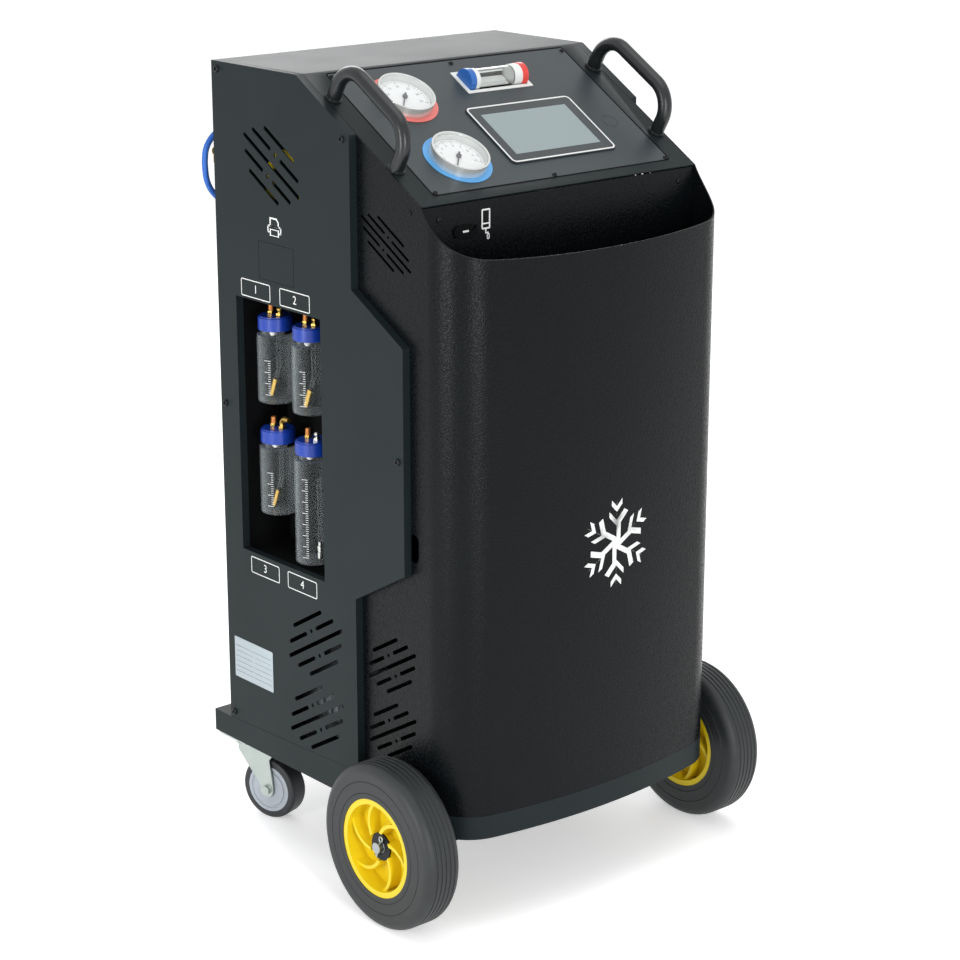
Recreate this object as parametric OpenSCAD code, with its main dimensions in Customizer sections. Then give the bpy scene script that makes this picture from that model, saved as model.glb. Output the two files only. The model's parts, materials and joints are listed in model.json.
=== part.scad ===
// Refrigerant recovery machine on wheels: a sheet-metal cabinet with a sloping
// control panel, a bowed front cover with a tool pocket behind its rim, a bay
// of four oil bottles, two front wheels, two rear casters and two service hoses.
// Millimetres. X to the right seen from the front, Y to the back, Z up, origin
// on the floor under the middle of the base.

/* [Cabinet] */
// Width over the two side panels
cabinet_w = 520; // [480:1:560]
// Height of the flat top above the floor
cabinet_h = 1145; // [1100:1:1200]
// Depth of the base tray, from the front of its bow to its back edge
base_d = 584; // [560:1:620]
// Depth of the base tray behind the rear panel
rear_ledge = 42; // [36:1:60]
// Depth of the flat top
top_d = 196; // [180:1:215]
// Length of the sloping control panel
slope_len = 286; // [276:1:300]
// Angle of the control panel to the floor
slope_deg = 30.4; // [28:0.2:33]
// Thickness of the cabinet sheet
sheet = 2; // [1.5:0.1:2.5]
// Depth of the return flange around each side panel
panel_return = 12; // [10:0.5:15]

/* [Base tray] */
// Height of the tray's underside above the floor
base_z = 132; // [126:1:138]
// Height of the tray
base_h = 34; // [30:1:40]
// Thickness of the tray's sheet
base_sheet = 3; // [2:0.5:4]
// Rise of the tray's side walls from the back to the front
sill_rise = 12; // [6:1:16]

/* [Front cover] */
// Radius of the cover's two front corners
corner_r = 70; // [55:1:85]
// Angle that each half of the cover's bowed front turns through
bow_deg = 11.8; // [9:0.1:14]
// Radius of the concave top rim, seen from the side
rim_r = 142; // [135:1:150]
// Drop from the flat top to the rim at the middle of the front
rim_drop = 213; // [200:1:225]
// How far the cover's sides run on behind the side panels
cover_lap = 52; // [40:1:55]
// Depth of the tool pocket below the rim
pocket_d = 86; // [60:1:120]

/* [Side panels] */
// Depth of a side panel above and below its bulge
side_d = 310; // [300:1:320]
// How far the bulge stands forward
bulge_d = 108; // [90:1:112]
// Height of the bulge's upper corner
bulge_top_z = 811; // [790:1:830]
// Height of the bulge's lower corner
bulge_bottom_z = 497; // [480:1:520]
// Height taken by each of the bulge's two bevels
bulge_bevel = 61; // [50:1:70]

/* [Bottle bay] */
// Width of the window
window_w = 196; // [186:1:200]
// Height of the window
window_h = 376; // [370:1:390]
// Height of the window's sill above the floor
window_z = 443; // [436:1:446]
// Distance from the rear panel to the window
window_back = 44; // [40:1:50]
// Depth of the bay behind the panel
bay_depth = 88; // [84:1:100]
// Radius of a bottle
bottle_r = 27; // [22:0.5:27.5]
// Height of a small bottle up to its shoulder
bottle_h = 98; // [85:1:104]
// Height of the tall bottle up to its shoulder
tall_bottle_h = 153; // [130:1:155]
// Radius of a bottle's cap
cap_r = 25; // [23:0.5:27]
// Height of a bottle's cap
cap_h = 20; // [16:1:22]
// Distance between the two bottles of a row
bottle_pitch = 82; // [70:1:86]
// Depth of a bottle's axis behind the panel's face
bottle_depth = 37; // [36:0.5:42]
// Distance from the rear panel to the axis of the rear bottles
bottle_back = 86; // [80:1:92]
// Height of the upper caps' lower edges above the window's sill
upper_cap_rise = 330; // [325:1:335]
// Height of the lower caps' lower edges above the window's sill
lower_cap_rise = 165; // [162:1:170]

/* [Vents] */
// Length of the longest slot of a side panel's vent
vent_len = 147; // [130:1:150]
// Distance between the slots of a side panel's vent
vent_pitch = 18.4; // [16:0.2:20]
// Width of the vent slots
slot_w = 6; // [4:0.5:7]

/* [Control panel] */
// Width of the screwed control plate
plate_w = 426; // [415:1:432]
// Gap around the control plate
plate_gap = 0.8; // [0.5:0.1:1.2]
// Bare strip of cover above and below the control plate
plate_margin_top = 6; // [5:0.5:9]
// Bare strip of cover below the control plate
plate_margin_bottom = 18; // [15:0.5:21]
// Radius of a pressure gauge's bezel
gauge_r = 41; // [38:0.5:43]
// Height of a pressure gauge's bezel above its ring
gauge_h = 14; // [12:0.5:18]
// Radius of the coloured ring under a gauge
gauge_ring_r = 49; // [46:0.5:52]
// Distance of both gauges from the panel's centre line
gauge_x = 129; // [126:1:134]
// Distance of the upper gauge from the top of the slope
upper_gauge_s = 77; // [72:1:80]
// Distance of the lower gauge from the top of the slope
lower_gauge_s = 207; // [200:1:210]
// Width of the touch screen
screen_w = 191; // [180:1:196]
// Height of the touch screen
screen_h = 121; // [112:1:125]
// Distance of the touch screen's centre from the panel's centre line
screen_x = 45.8; // [42:0.2:50]
// Distance of the touch screen's centre from the top of the slope
screen_s = 172; // [168:1:178]
// Width of the sight glass frame
sight_w = 118; // [110:1:122]
// Height of the sight glass frame
sight_h = 47; // [44:1:50]
// Distance of the sight glass from the panel's centre line
sight_x = 42; // [38:1:46]
// Distance of the sight glass from the top of the slope
sight_s = 57.5; // [52:0.5:62]

/* [Handles] */
// Diameter of a handle's tube
handle_d = 20; // [18:1:22]
// Distance between a handle's two legs
handle_span = 153; // [140:1:165]
// Height of a handle's centre line above the panel
handle_rise = 60; // [56:1:70]
// Radius of a handle's bends at the centre line
handle_bend = 38; // [30:1:42]
// Distance of a handle from the edge of the cabinet
handle_inset = 25; // [23:0.5:27]
// Distance of a handle's rear leg from the top of the slope
handle_s = 57; // [50:1:64]

/* [Front wheels] */
// Radius of a front wheel
wheel_r = 118.5; // [110:0.5:122]
// Width of a front wheel
wheel_w = 58; // [50:1:62]
// Radius of a front wheel's rim
rim_flange_r = 70.5; // [64:0.5:76]
// Gap between the cabinet and a front wheel
wheel_gap = 2; // [1.5:0.5:6]
// Radius of the axle inside the hubs
axle_r = 10; // [8:0.5:11]
// Distance of the axle behind the front of the base
axle_back = 120; // [110:1:130]

/* [Casters] */
// Radius of a caster's wheel
caster_r = 47.5; // [44:0.5:50]
// Width of a caster's wheel
caster_w = 32; // [28:1:36]
// Distance between a caster's swivel and its axle
caster_trail = 32; // [28:1:36]
// Angle that the casters stand at
caster_turn = 17; // [0:1:30]
// Distance of a caster's swivel from the side of the cabinet
caster_inset = 47; // [46:1:60]
// Distance of a caster's swivel from the back of the base
caster_back = 40; // [38:1:50]

/* [Hoses] */
// Diameter of a service hose
hose_d = 9; // [8:0.5:10]
// Radius of a hung coil at the middle of its turns
coil_r = 54; // [50:1:58]

/* [Hidden] */
$fn = 72;
clear = 0.3;
run_clear = 0.05;
eps = 0.01;
seam = 0.002;

half_w = cabinet_w/2;
cover_w = half_w - panel_return;
front_y = -base_d/2;
back_y = base_d/2;
rear_y = back_y - rear_ledge;
top_y = rear_y - top_d;
floor_z = base_z + base_h;
panel_y = top_y - slope_len*cos(slope_deg);
panel_z = cabinet_h - slope_len*sin(slope_deg);
side_y = rear_y - side_d;
bulge_y = side_y - bulge_d;
axle_y = front_y + axle_back;

// The bowed plan: a wide front arc that runs into two corner arcs
corner_x = cover_w - corner_r;
bow_r = corner_r + corner_x/sin(bow_deg);
bow_cy = front_y + bow_r;
corner_y = bow_cy - corner_x/tan(bow_deg);

// The rim's arc: it meets the front at rim_z and the edge of the control panel
rim_z = cabinet_h - rim_drop;
rim_dy = panel_y - front_y;
rim_dz = panel_z - rim_z;
rim_chord = sqrt(rim_dy*rim_dy + rim_dz*rim_dz);
rim_off = sqrt(rim_r*rim_r - rim_chord*rim_chord/4);
rim_cy = (panel_y + front_y)/2 - rim_off*rim_dz/rim_chord;
rim_cz = (panel_z + rim_z)/2 + rim_off*rim_dy/rim_chord;

// Base tray: the axle's brackets and the channel over the casters
axle_bracket_inset = 70;
axle_bracket_x = half_w - axle_bracket_inset;
axle_bracket_w = 46;
axle_bracket_t = 6;
axle_bracket_low = 8;
axle_bracket_z = wheel_r - axle_r - axle_bracket_low;
channel_d = 72;

// Bottle bay
window_y1 = rear_y - window_back;
window_y0 = window_y1 - window_w;
bay_wall = 2;
bay_slack = 1.5;
bay_x = -half_w + bay_depth;
bottle_x = -half_w + bottle_depth;
rear_bottle_y = rear_y - bottle_back;
upper_cap_z = window_z + upper_cap_rise;
lower_cap_z = window_z + lower_cap_rise;
cap_wall = 5;
neck_r = cap_r - cap_wall;
neck_h = 7;
cap_top = 6;
cap_step = 2;
bottle_wall = 2;
bottle_round = 3;
// Each bottle: its place along Y, its cap's lower edge, its height
BOTTLES = [
    [rear_bottle_y, upper_cap_z, bottle_h],
    [rear_bottle_y - bottle_pitch, upper_cap_z, bottle_h],
    [rear_bottle_y, lower_cap_z, bottle_h],
    [rear_bottle_y - bottle_pitch, lower_cap_z, tall_bottle_h]];
// The clip behind each neck
clip_h = 5;
clip_t = 3.5;
clip_arm = 24;
// Fittings on a cap, and the dip tube under it
fitting_off = 10;
hex_h = 4;
plug_r = 4.5;
plug_h = 14;
union_r = 4;
union_h = 9;
elbow_h = 7;
elbow_r = 8;
elbow_run = 9;
dip_off = 6;
dip_r = 3.2;
stub_h = 14;
slant_deg = 22;
slant_len = 20;
sink_r = 4.6;
sink_len = 28;
sink_gap = 4;

// Control panel
plate_len = slope_len - plate_margin_top - plate_margin_bottom;
plate_s = plate_margin_top + plate_len/2;
plate_ledge = 8;
plate_lap = 4;
plate_corner_r = 6;
groove_w = 0.8;
groove_d = 0.6;
knock_r = 12.5;
knock_x = 174;
knock_s = 174;
handle_x = half_w - handle_inset;
handle_collar = 3;
screen_r = 8;
screen_t = 2.5;
screen_lap = 8;
screen_depth = 20;
// Gauges: ring, case, dial, lens, and the needle, which rests on its zero mark at the lower left
GAUGES = [upper_gauge_s, lower_gauge_s];
ring_h = 1.2;
bezel_over = 3;
gauge_body_r = gauge_r - bezel_over;
gauge_depth = 22;
case_wall = 4;
dial_r = gauge_r - case_wall;
dial_h = 4;
bezel_rim = 2.5;
lens_r = gauge_r - bezel_rim;
lens_h = 2.5;
pin_r = 1.2;
pin_over = 1.4;
pointer_h = 5.6;
boss_r = 3.6;
boss_h = 2.6;
boss_low = 0.6;
needle_rest = 230;
needle_short = 9;
needle_len = gauge_r - needle_short;
needle_tail = 10;
needle_w = 2.8;
needle_t = 0.8;
// Sight glass: a white frame with a trough, and a tube between two coloured ends
sight_r = 17;
sight_ring_r = 16;
sight_tube_r = 15;
sight_axis_h = 4;
sight_wall = 2;
sight_lap_x = 4;
sight_lap_y = 3;
sight_border_t = 1.5;
sight_run = sight_w - 2*sight_lap_x - 2*sight_wall - 4*clear;
sight_band = 10;
// Length of the ring beside the left band and beside the right one
SIGHT_RINGS = [8, 14];

// USB port in the pocket's back wall
usb_inset = 86;
usb_x = -half_w + usb_inset;
usb_drop = 40;
usb_z = panel_z - usb_drop;
usb_w = 40;
usb_h = 17;
usb_face_t = 3;
usb_body_w = 22;
usb_body_h = 13;
usb_body_d = 14;
usb_slot_w = 12.5;
usb_slot_h = 5;
usb_slot_d = 10;
usb_tongue_t = 1.8;

// Vents: row lengths as shares of the longest slot, and the vents' middles
VENT_ROWS = [0.53, 0.82, 1, 0.82, 0.53];
upper_vent_back = 136;
upper_vent_y = rear_y - upper_vent_back;
upper_vent_drop = 130;
upper_vent_z = cabinet_h - upper_vent_drop;
lower_vent_back = 215;
lower_vent_y = rear_y - lower_vent_back;
LOWER_VENT_RISES = [65, 178];
LOWER_VENTS = [for (r = LOWER_VENT_RISES) floor_z + r];
cover_vent_back = 168;
cover_vent_y = front_y + cover_vent_back;
COVER_VENT_RISES = [92, 188];
COVER_VENTS = [for (r = COVER_VENT_RISES) floor_z + r];
cover_upper_vent_back = 172;
cover_upper_vent_y = front_y + cover_upper_vent_back;
cover_upper_vent_drop = 203;
cover_upper_vent_z = cabinet_h - cover_upper_vent_drop;
cover_vent_scale = 0.82;
cover_upper_pitch = 0.57;
cover_slot_w = slot_w - 0.5;
cover_upper_slot_w = slot_w - 2;
cover_hole_back = 118;
cover_hole_y = front_y + cover_hole_back;
cover_hole_rise = 370;
cover_hole_z = floor_z + cover_hole_rise;
cover_hole_h = 40;
cover_hole_w = 20;
// Blank for a printer, above the bottle window
blank_w = 81;
blank_h = 54;
blank_back = 142;
blank_y = rear_y - blank_back;
blank_rise = 61;
blank_z = window_z + window_h + blank_rise;

// Wheels
wheel_x = half_w + wheel_gap;
shoulder_r = 14;
tread_groove = 3;
TREAD = [-2, -1, 0, 1, 2];
sidewall_groove = 1.6;
SIDEWALL = [8, 24];
hub_r = 17;
hub_inset = 14;
hub_out = wheel_w - hub_inset;
hub_in = 6;
rim_wall = 8;
web_t = 5;
rib_count = 6;
rib_low = 8;
rib_t = 5;
rib_arc_r = 40;
rib_centre = [1.3, 36.8];
washer_t = 3;
washer_r = 20;
washer_gap = 0.5;
washer_slack = 1;
stub_r = 8;
stub_in = 2;

// Casters
caster_x = half_w - caster_inset;
caster_y = back_y - caster_back;
caster_plate_t = 4;
caster_plate_w = 90;
caster_plate_l = 68;
caster_head_h = 10;
caster_head_r = 28;
kingpin_r = 7;
kingpin_nut_r = 11;
kingpin_nut_h = 6;
fork_t = 3;
fork_gap = 2;
fork_lug_r = 12;
fork_z = base_z - caster_plate_t - caster_head_h;
caster_tread = 11;
caster_core_r = caster_r - caster_tread;
core_groove = 4;
caster_bead = 5;
caster_bolt_r = 5;
bolt_head_r = 8;
bolt_head_h = 5;

// Inside: compressor, tank on its scale and vacuum pump stand on the tray
comp_inset = 140;
comp_x = half_w - comp_inset;
comp_back = 116;
comp_y = rear_y - comp_back;
comp_plate = 160;
comp_plate_t = 4;
comp_foot_x = 62;
comp_foot_r = 12;
comp_foot_h = 18;
comp_flange_r = 78;
comp_flange_h = 6;
comp_r = 72;
comp_h = 90;
comp_seam = 4;
comp_seam_z = 60;
comp_port_r = 10;
comp_port_h = 22;
tank_x = 70;
tank_ahead = 214;
tank_y = comp_y - tank_ahead;
tank_r = 108;
tank_h = 410;
tank_dome = 60;
tank_wall = 4;
tank_foot = 24;
tank_foot_in = 30;
tank_valve_r = 22;
tank_valve_h = 16;
tank_port_x = 14;
tank_port_r = 7;
tank_port_h = 26;
scale_w = 230;
scale_top_w = 220;
scale_h = 18;
scale_t = 4;
scale_bar_w = 40;
scale_bar_l = 190;
pump_inset = 82;
pump_x = -half_w + pump_inset;
pump_ahead = 69;
pump_y = comp_y - pump_ahead;
pump_z = 74;
pump_r = 50;
pump_step = 6;
pump_len = 170;
motor_len = 110;
fin_count = 6;
fin_pitch = 17;
fin_h = 4;
fin_t = 5;
pump_foot_w = 100;
pump_foot_d = 26;
pump_foot_h = 14;
pump_rail_w = 60;
pump_rail_l = 150;
pump_rail_h = 14;
pump_box_w = 20;
pump_box_l = 60;
pump_box_h = 26;

// Rear grille, with the condenser behind it
grille_x = 70;
grille_rise = 374;
grille_z = floor_z + grille_rise;
grille_w = 240;
grille_pitch = 20;
grille_rows = 13;
cond_over = 5;
cond_w = grille_w + 2*cond_over;
cond_h = (grille_rows - 1)*grille_pitch + 2*cond_over;
cond_z = grille_z - cond_over;
cond_d = 30;
cond_t = 4;
cond_tab = 12;
cond_rows = 5;
cond_row_t = 6;

// Valve block on top of the bottle bay, with a looped transfer line
manifold_back = 120;
manifold_y = rear_y - manifold_back;
manifold_w = 44;
manifold_l = 110;
manifold_h = 46;
valve_pitch = 34;
valve_r = 13;
valve_len = 40;
line_r = 38;
line_t = 6;
line_drop = 28;

// Power inlet with its socket and rocker switch
inlet_inset = 110;
inlet_x = half_w - inlet_inset;
inlet_rise = 120;
inlet_z = floor_z + inlet_rise;
inlet_w = 50;
inlet_h = 74;
inlet_face_t = 3;
inlet_flange = 5;
inlet_depth = 34;
socket_w = 25;
socket_h = 17;
socket_z = -18;
socket_d = 20;
blade_pitch = 7;
blade_len = 15;
rocker_w = 19;
rocker_h = 26;
rocker_z = 17;
rocker_d = 16;
rocker_axis = 3;
rocker_bearing = 4;
rocker_pin_r = 1.5;

// Hose outlets, hooks and hung coils behind the rear panel
outlet_stem_r = 8;
outlet_nut_r = 12;
outlet_nut_h = 6;
outlet_out = 26;
spigot_r = 6;
// Length of the blue outlet's spigot and of the red one's
SPIGOTS = [18, 16];
coil_turn_rows = 3;
coil_turn_layers = 2;
coil_inner_r = coil_r - coil_turn_rows*hose_d/2;
coil_last_r = coil_r + hose_d;
tail_len = 62;
coupler_r = 11;
coupler_h = 30;
coupler_nose = 14;
coupler_hex_r = 7;
coupler_hex_h = 16;
coupler_bar_r = 5;
hook_w = 30;
hook_t = 3;
hook_reach = 40;
hook_lip = 16;
hook_foot = 26;
sides = 10;
// Places on the rear panel are measured from the middle of its top edge
hose_top = [0, rear_y, cabinet_h];
blue_outlet = hose_top + [-186, 0, -99];
red_outlet = hose_top + [-236, 0, -133];
blue_coil = hose_top + [-110, 18, -307];
red_coil = hose_top + [-120, 18, -517];
// The free stretches, as points chosen along their way from outlet to coil
BLUE_ROUTE = [for (p = [
    [-204, 26, -99], [-208, 26.2, -99], [-219, 27.5, -100.4], [-229, 29.5, -104.6],
    [-237.7, 31.6, -111.3], [-244.4, 33.6, -120], [-248.6, 35.4, -130.1], [-250, 36.6, -141],
    [-250, 37, -160], [-246.7, 36.8, -178.5], [-237.4, 36, -194.7], [-223, 34.7, -206.8],
    [-206, 33, -213.8], [-187, 31, -220.7], [-168, 28.8, -227.6], [-149, 26.2, -234.4],
    [-130, 23.7, -240.7], [-110, 22.5, -244]]) hose_top + p];
RED_ROUTE = [for (p = [
    [-236, 26, -149], [-236, 26, -159], [-236, 26, -180], [-236, 26, -205], [-236, 26, -235],
    [-236, 26, -265], [-236, 25, -295], [-235, 25, -325], [-233, 24, -355], [-229, 24, -383],
    [-222, 23, -409], [-213, 23, -433], [-203, 22.5, -457], [-193, 22.5, -480],
    [-186, 22.5, -500], [-183, 22.5, -517]]) hose_top + p];

// Places its children in the plane of the control panel: X across, -Y down the slope, Z out of it
module on_slope() {
    translate([0, top_y, cabinet_h]) rotate([slope_deg, 0, 0]) children();
}

// The bowed outline, drawn in by a wall's thickness and closed along a straight back:
// a slice of the wide front arc, a disc in each corner and the part behind them, which all overlap
module bow_outline(inset, y_end) {
    far = 2*bow_r*[cos(bow_deg - 90), sin(bow_deg - 90)];
    back = corner_y + corner_r/2;
    intersection() {
        translate([0, bow_cy]) circle(bow_r - inset, $fn = 720);
        polygon([[-corner_x, back], [-corner_x, corner_y], [-corner_x - far[0], corner_y + far[1]],
            [corner_x + far[0], corner_y + far[1]], [corner_x, corner_y], [corner_x, back]]);
    }
    for (x = [-corner_x, corner_x]) translate([x, corner_y])
        circle(corner_r - inset - seam, $fn = 144);
    translate([-cover_w + inset, corner_y]) square([2*(cover_w - inset), y_end - corner_y]);
}

// The bowed wall itself, open at the back
module bow_wall(t, z, h, y_end) {
    translate([0, 0, z]) linear_extrude(h) difference() {
        bow_outline(0, y_end);
        bow_outline(t, y_end + 1);
    }
}

// A polygon drawn in by a distance, corner by corner
function unit(v) = v/norm(v);
function edge_normal(a, b) = let(d = unit(b - a)) [-d[1], d[0]];
function inset_points(p, d) = let(n = len(p)) [for (i = [0:n - 1]) let(
    m = edge_normal(p[(i + n - 1) % n], p[i]), k = edge_normal(p[i], p[(i + 1) % n]), b = m + k)
    p[i] + b*(d/(1 + m*k))];

// A rectangle with round corners
module round_rect(w, h, r) {
    square([w - 2*r, h], center = true);
    square([w, h - 2*r], center = true);
    for (x = [-1, 1], y = [-1, 1]) translate([x*(w/2 - r), y*(h/2 - r)]) circle(r);
}

// A slot with round ends
module slot(length, w) {
    square([length - w, w], center = true);
    for (s = [-1, 1]) translate([s*(length - w)/2, 0]) circle(d = w, $fn = 24);
}

// A vent of five slanting rows; the second and fourth rows are parted by a round hole
module vent(length, pitch, w) {
    for (i = [0:4]) translate([0, (2 - i)*pitch]) {
        run = length*VENT_ROWS[i];
        if (i == 1 || i == 3) {
            part = (run - 4*w)/2;
            for (s = [-1, 1]) translate([s*(run - part)/2, 0]) slot(part, w);
            circle(d = w, $fn = 24);
        } else {
            slot(run, w);
        }
    }
}

// Turns a drawing of the side, with the back to the left, into a cutter through the left or right wall
module side_cut(x0, depth) {
    translate([x0, 0, 0]) rotate([90, 0, 90]) linear_extrude(depth) children();
}

// The outline of a side panel in Y and Z, anticlockwise seen from the right
side_points = [
    [rear_y, floor_z + clear], [rear_y, cabinet_h], [top_y, cabinet_h],
    [side_y, cabinet_h - (top_y - side_y)*tan(slope_deg)],
    [side_y, bulge_top_z + bulge_bevel], [bulge_y, bulge_top_z],
    [bulge_y, bulge_bottom_z], [side_y, bulge_bottom_z - bulge_bevel],
    [side_y, floor_z + sill_rise + clear]];

module side_sheet() {
    difference() {
        side_cut(0, panel_return) polygon(side_points);
        side_cut(sheet, panel_return) polygon(inset_points(side_points, sheet));
    }
}

module side_vents() {
    side_cut(-1, panel_return + 2) {
        translate([upper_vent_y, upper_vent_z]) rotate(slope_deg) vent(vent_len, vent_pitch, slot_w);
        for (z = LOWER_VENTS) translate([lower_vent_y, z]) rotate(-slope_deg)
            vent(vent_len, vent_pitch, slot_w);
    }
}

// The hairline groove around a blank for a printer
module side_blank() {
    side_cut(-eps, groove_d + eps) translate([blank_y, blank_z]) difference() {
        square([blank_w, blank_h], center = true);
        square([blank_w - 2*groove_w, blank_h - 2*groove_w], center = true);
    }
}

module left_side_panel() color("#3c4043") {
    translate([-half_w, 0, 0]) difference() {
        union() {
            side_sheet();
            translate([0, window_y0 - sheet, window_z - sheet])
                cube([panel_return, window_w + 2*sheet, window_h + 2*sheet]);
        }
        translate([-1, window_y0, window_z]) cube([panel_return + 2, window_w, window_h]);
        side_vents();
        side_blank();
    }
}

module right_side_panel() color("#3c4043") {
    mirror([1, 0, 0]) translate([-half_w, 0, 0]) difference() {
        side_sheet();
        side_vents();
    }
}

module rear_panel() color("#34383b") {
    difference() {
        translate([-cover_w + clear, rear_y - sheet, floor_z])
            cube([2*(cover_w - clear), sheet, cabinet_h - sheet - clear - floor_z]);
        for (p = [blue_outlet, red_outlet]) translate([p[0], rear_y - sheet - 1, p[2]])
            rotate([-90, 0, 0]) cylinder(r = outlet_stem_r + clear, h = sheet + 2);
        translate([inlet_x - inlet_w/2, rear_y - sheet - 1, inlet_z - inlet_h/2])
            cube([inlet_w, sheet + 2, inlet_h]);
        for (i = [0:grille_rows - 1])
            translate([grille_x, rear_y - sheet - 1, grille_z + i*grille_pitch])
            rotate([-90, 0, 0]) linear_extrude(sheet + 2) slot(grille_w, slot_w);
    }
    for (c = [blue_coil, red_coil]) hose_hook(c);
}

// A folded strip that a coil hangs on
function hook_top(c) = c[2] + sqrt(pow(coil_inner_r, 2) - pow(hook_w/2, 2)) - clear;
module hose_hook(c) {
    translate([c[0] - hook_w/2, rear_y, hook_top(c) - hook_t]) rotate([90, 0, 90]) linear_extrude(hook_w)
        polygon([[0, hook_t], [0, -hook_foot], [hook_t, -hook_foot], [hook_t, 0], [hook_reach, 0],
            [hook_reach, hook_lip], [hook_reach - hook_t, hook_lip], [hook_reach - hook_t, hook_t]]);
}

module base_tray() color("#2b2e30") {
    top_z = floor_z - base_sheet;
    // floor of the tray, with the bowed front
    translate([0, 0, top_z]) linear_extrude(base_sheet) {
        bow_outline(base_sheet/2, side_y + eps);
        translate([-half_w + base_sheet/2, side_y])
            square([cabinet_w - base_sheet, back_y - side_y - base_sheet/2]);
    }
    bow_wall(base_sheet, base_z, base_h, side_y + base_sheet);
    // side walls, which rise towards the front
    for (m = [0, 1]) mirror([m, 0, 0]) {
        side_cut(half_w - base_sheet, base_sheet)
            polygon([[back_y, base_z], [back_y, floor_z], [rear_y, floor_z],
                [side_y, floor_z + sill_rise], [side_y, base_z]]);
        translate([cover_w - base_sheet, side_y, base_z])
            cube([panel_return + base_sheet, base_sheet, base_h]);
        // axle bracket
        difference() {
            translate([axle_bracket_x, axle_y - axle_bracket_w/2, axle_bracket_z])
                cube([axle_bracket_t, axle_bracket_w, top_z - axle_bracket_z]);
            translate([axle_bracket_x - 1, axle_y, wheel_r]) rotate([0, 90, 0])
                cylinder(r = axle_r + run_clear, h = axle_bracket_t + 2);
        }
    }
    translate([-half_w, back_y - base_sheet, base_z]) cube([cabinet_w, base_sheet, base_h]);
    // channel that carries the casters
    translate([-half_w + base_sheet, caster_y - channel_d/2, base_z])
        cube([cabinet_w - 2*base_sheet, channel_d, base_sheet]);
    for (y = [caster_y - channel_d/2, caster_y + channel_d/2 - base_sheet])
        translate([-half_w + base_sheet, y, base_z])
            cube([cabinet_w - 2*base_sheet, base_sheet, base_h - base_sheet]);
}

module top_cover() color("#4a5053") {
    back_w = cover_w - clear;
    front_w = cover_w - sheet - clear;
    lap_y = side_y + cover_lap;
    lap_s = (top_y - lap_y)/cos(slope_deg);
    difference() {
        union() {
            translate([-back_w, top_y, cabinet_h - sheet]) cube([2*back_w, rear_y - top_y, sheet]);
            on_slope() {
                translate([-back_w, -lap_s + clear, -sheet]) cube([2*back_w, lap_s - clear, sheet]);
                translate([-front_w, -slope_len, -sheet]) cube([2*front_w, slope_len, sheet]);
                translate([0, -plate_s, -2*sheet]) linear_extrude(sheet)
                    square([plate_w + 2*plate_lap, plate_len + 2*plate_lap], center = true);
            }
        }
        on_slope() {
            translate([0, -plate_s, -sheet]) linear_extrude(sheet + 1)
                round_rect(plate_w + 2*plate_gap, plate_len + 2*plate_gap, plate_corner_r + plate_gap);
            translate([0, -plate_s, -2*sheet - 1]) linear_extrude(sheet + 2)
                square([plate_w - 2*plate_ledge, plate_len - 2*plate_ledge], center = true);
        }
    }
}

module control_plate() color("#555b5f") {
    on_slope() difference() {
        translate([0, 0, -sheet]) linear_extrude(sheet) difference() {
            translate([0, -plate_s]) round_rect(plate_w, plate_len, plate_corner_r);
            for (s = GAUGES) translate([-gauge_x, -s]) circle(r = gauge_body_r + clear);
            translate([screen_x, -screen_s])
                square([screen_w - 2*screen_lap, screen_h - 2*screen_lap], center = true);
            translate([sight_x, -sight_s])
                square([sight_w - 2*sight_lap_x, sight_h - 2*sight_lap_y], center = true);
        }
        // the hairline groove around a round blank
        translate([knock_x, -knock_s, -groove_d]) linear_extrude(groove_d + 1) difference() {
            circle(r = knock_r);
            circle(r = knock_r - groove_w);
        }
    }
}

module front_cover() color("#222527") {
    z0 = floor_z + clear;
    difference() {
        bow_wall(sheet, z0, panel_z + side_d*tan(slope_deg) - z0, side_y + cover_lap);
        // everything above the slope of the control panel
        on_slope() translate([-half_w, -slope_len, 0]) cube([cabinet_w, 2*slope_len, slope_len]);
        translate([-half_w, front_y - 1, panel_z]) cube([cabinet_w, panel_y - front_y + 1, slope_len]);
        // the concave rim
        translate([-half_w, rim_cy, rim_cz]) rotate([0, 90, 0])
            cylinder(r = rim_r, h = cabinet_w, $fn = 288);
        cover_cuts();
        mirror([1, 0, 0]) cover_cuts();
    }
}

// Vents and the oblong finger hole in one side of the front cover
module cover_cuts() {
    side_cut(-half_w, 2*panel_return) {
        for (z = COVER_VENTS) translate([cover_vent_y, z]) rotate(-slope_deg)
            vent(vent_len*cover_vent_scale, vent_pitch*cover_vent_scale, cover_slot_w);
        translate([cover_upper_vent_y, cover_upper_vent_z]) rotate(slope_deg)
            vent(vent_len*cover_vent_scale, vent_pitch*cover_upper_pitch, cover_upper_slot_w);
        translate([cover_hole_y, cover_hole_z]) rotate(90) slot(cover_hole_h, cover_hole_w);
    }
}

module pocket_panel() color("#26292b") {
    pocket_z = rim_z - pocket_d;
    wall_w = cover_w - sheet - clear;
    difference() {
        translate([-wall_w, panel_y, pocket_z])
            cube([2*wall_w, sheet, panel_z - sheet/cos(slope_deg) - clear - pocket_z]);
        translate([usb_x, panel_y - 1, usb_z]) rotate([-90, 0, 0]) linear_extrude(sheet + 2)
            square([usb_body_w + 2*clear, usb_body_h + 2*clear], center = true);
    }
    translate([0, 0, pocket_z]) linear_extrude(sheet) intersection() {
        bow_outline(sheet + clear, 0);
        translate([-half_w, front_y]) square([cabinet_w, panel_y + eps - front_y]);
    }
}

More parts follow.
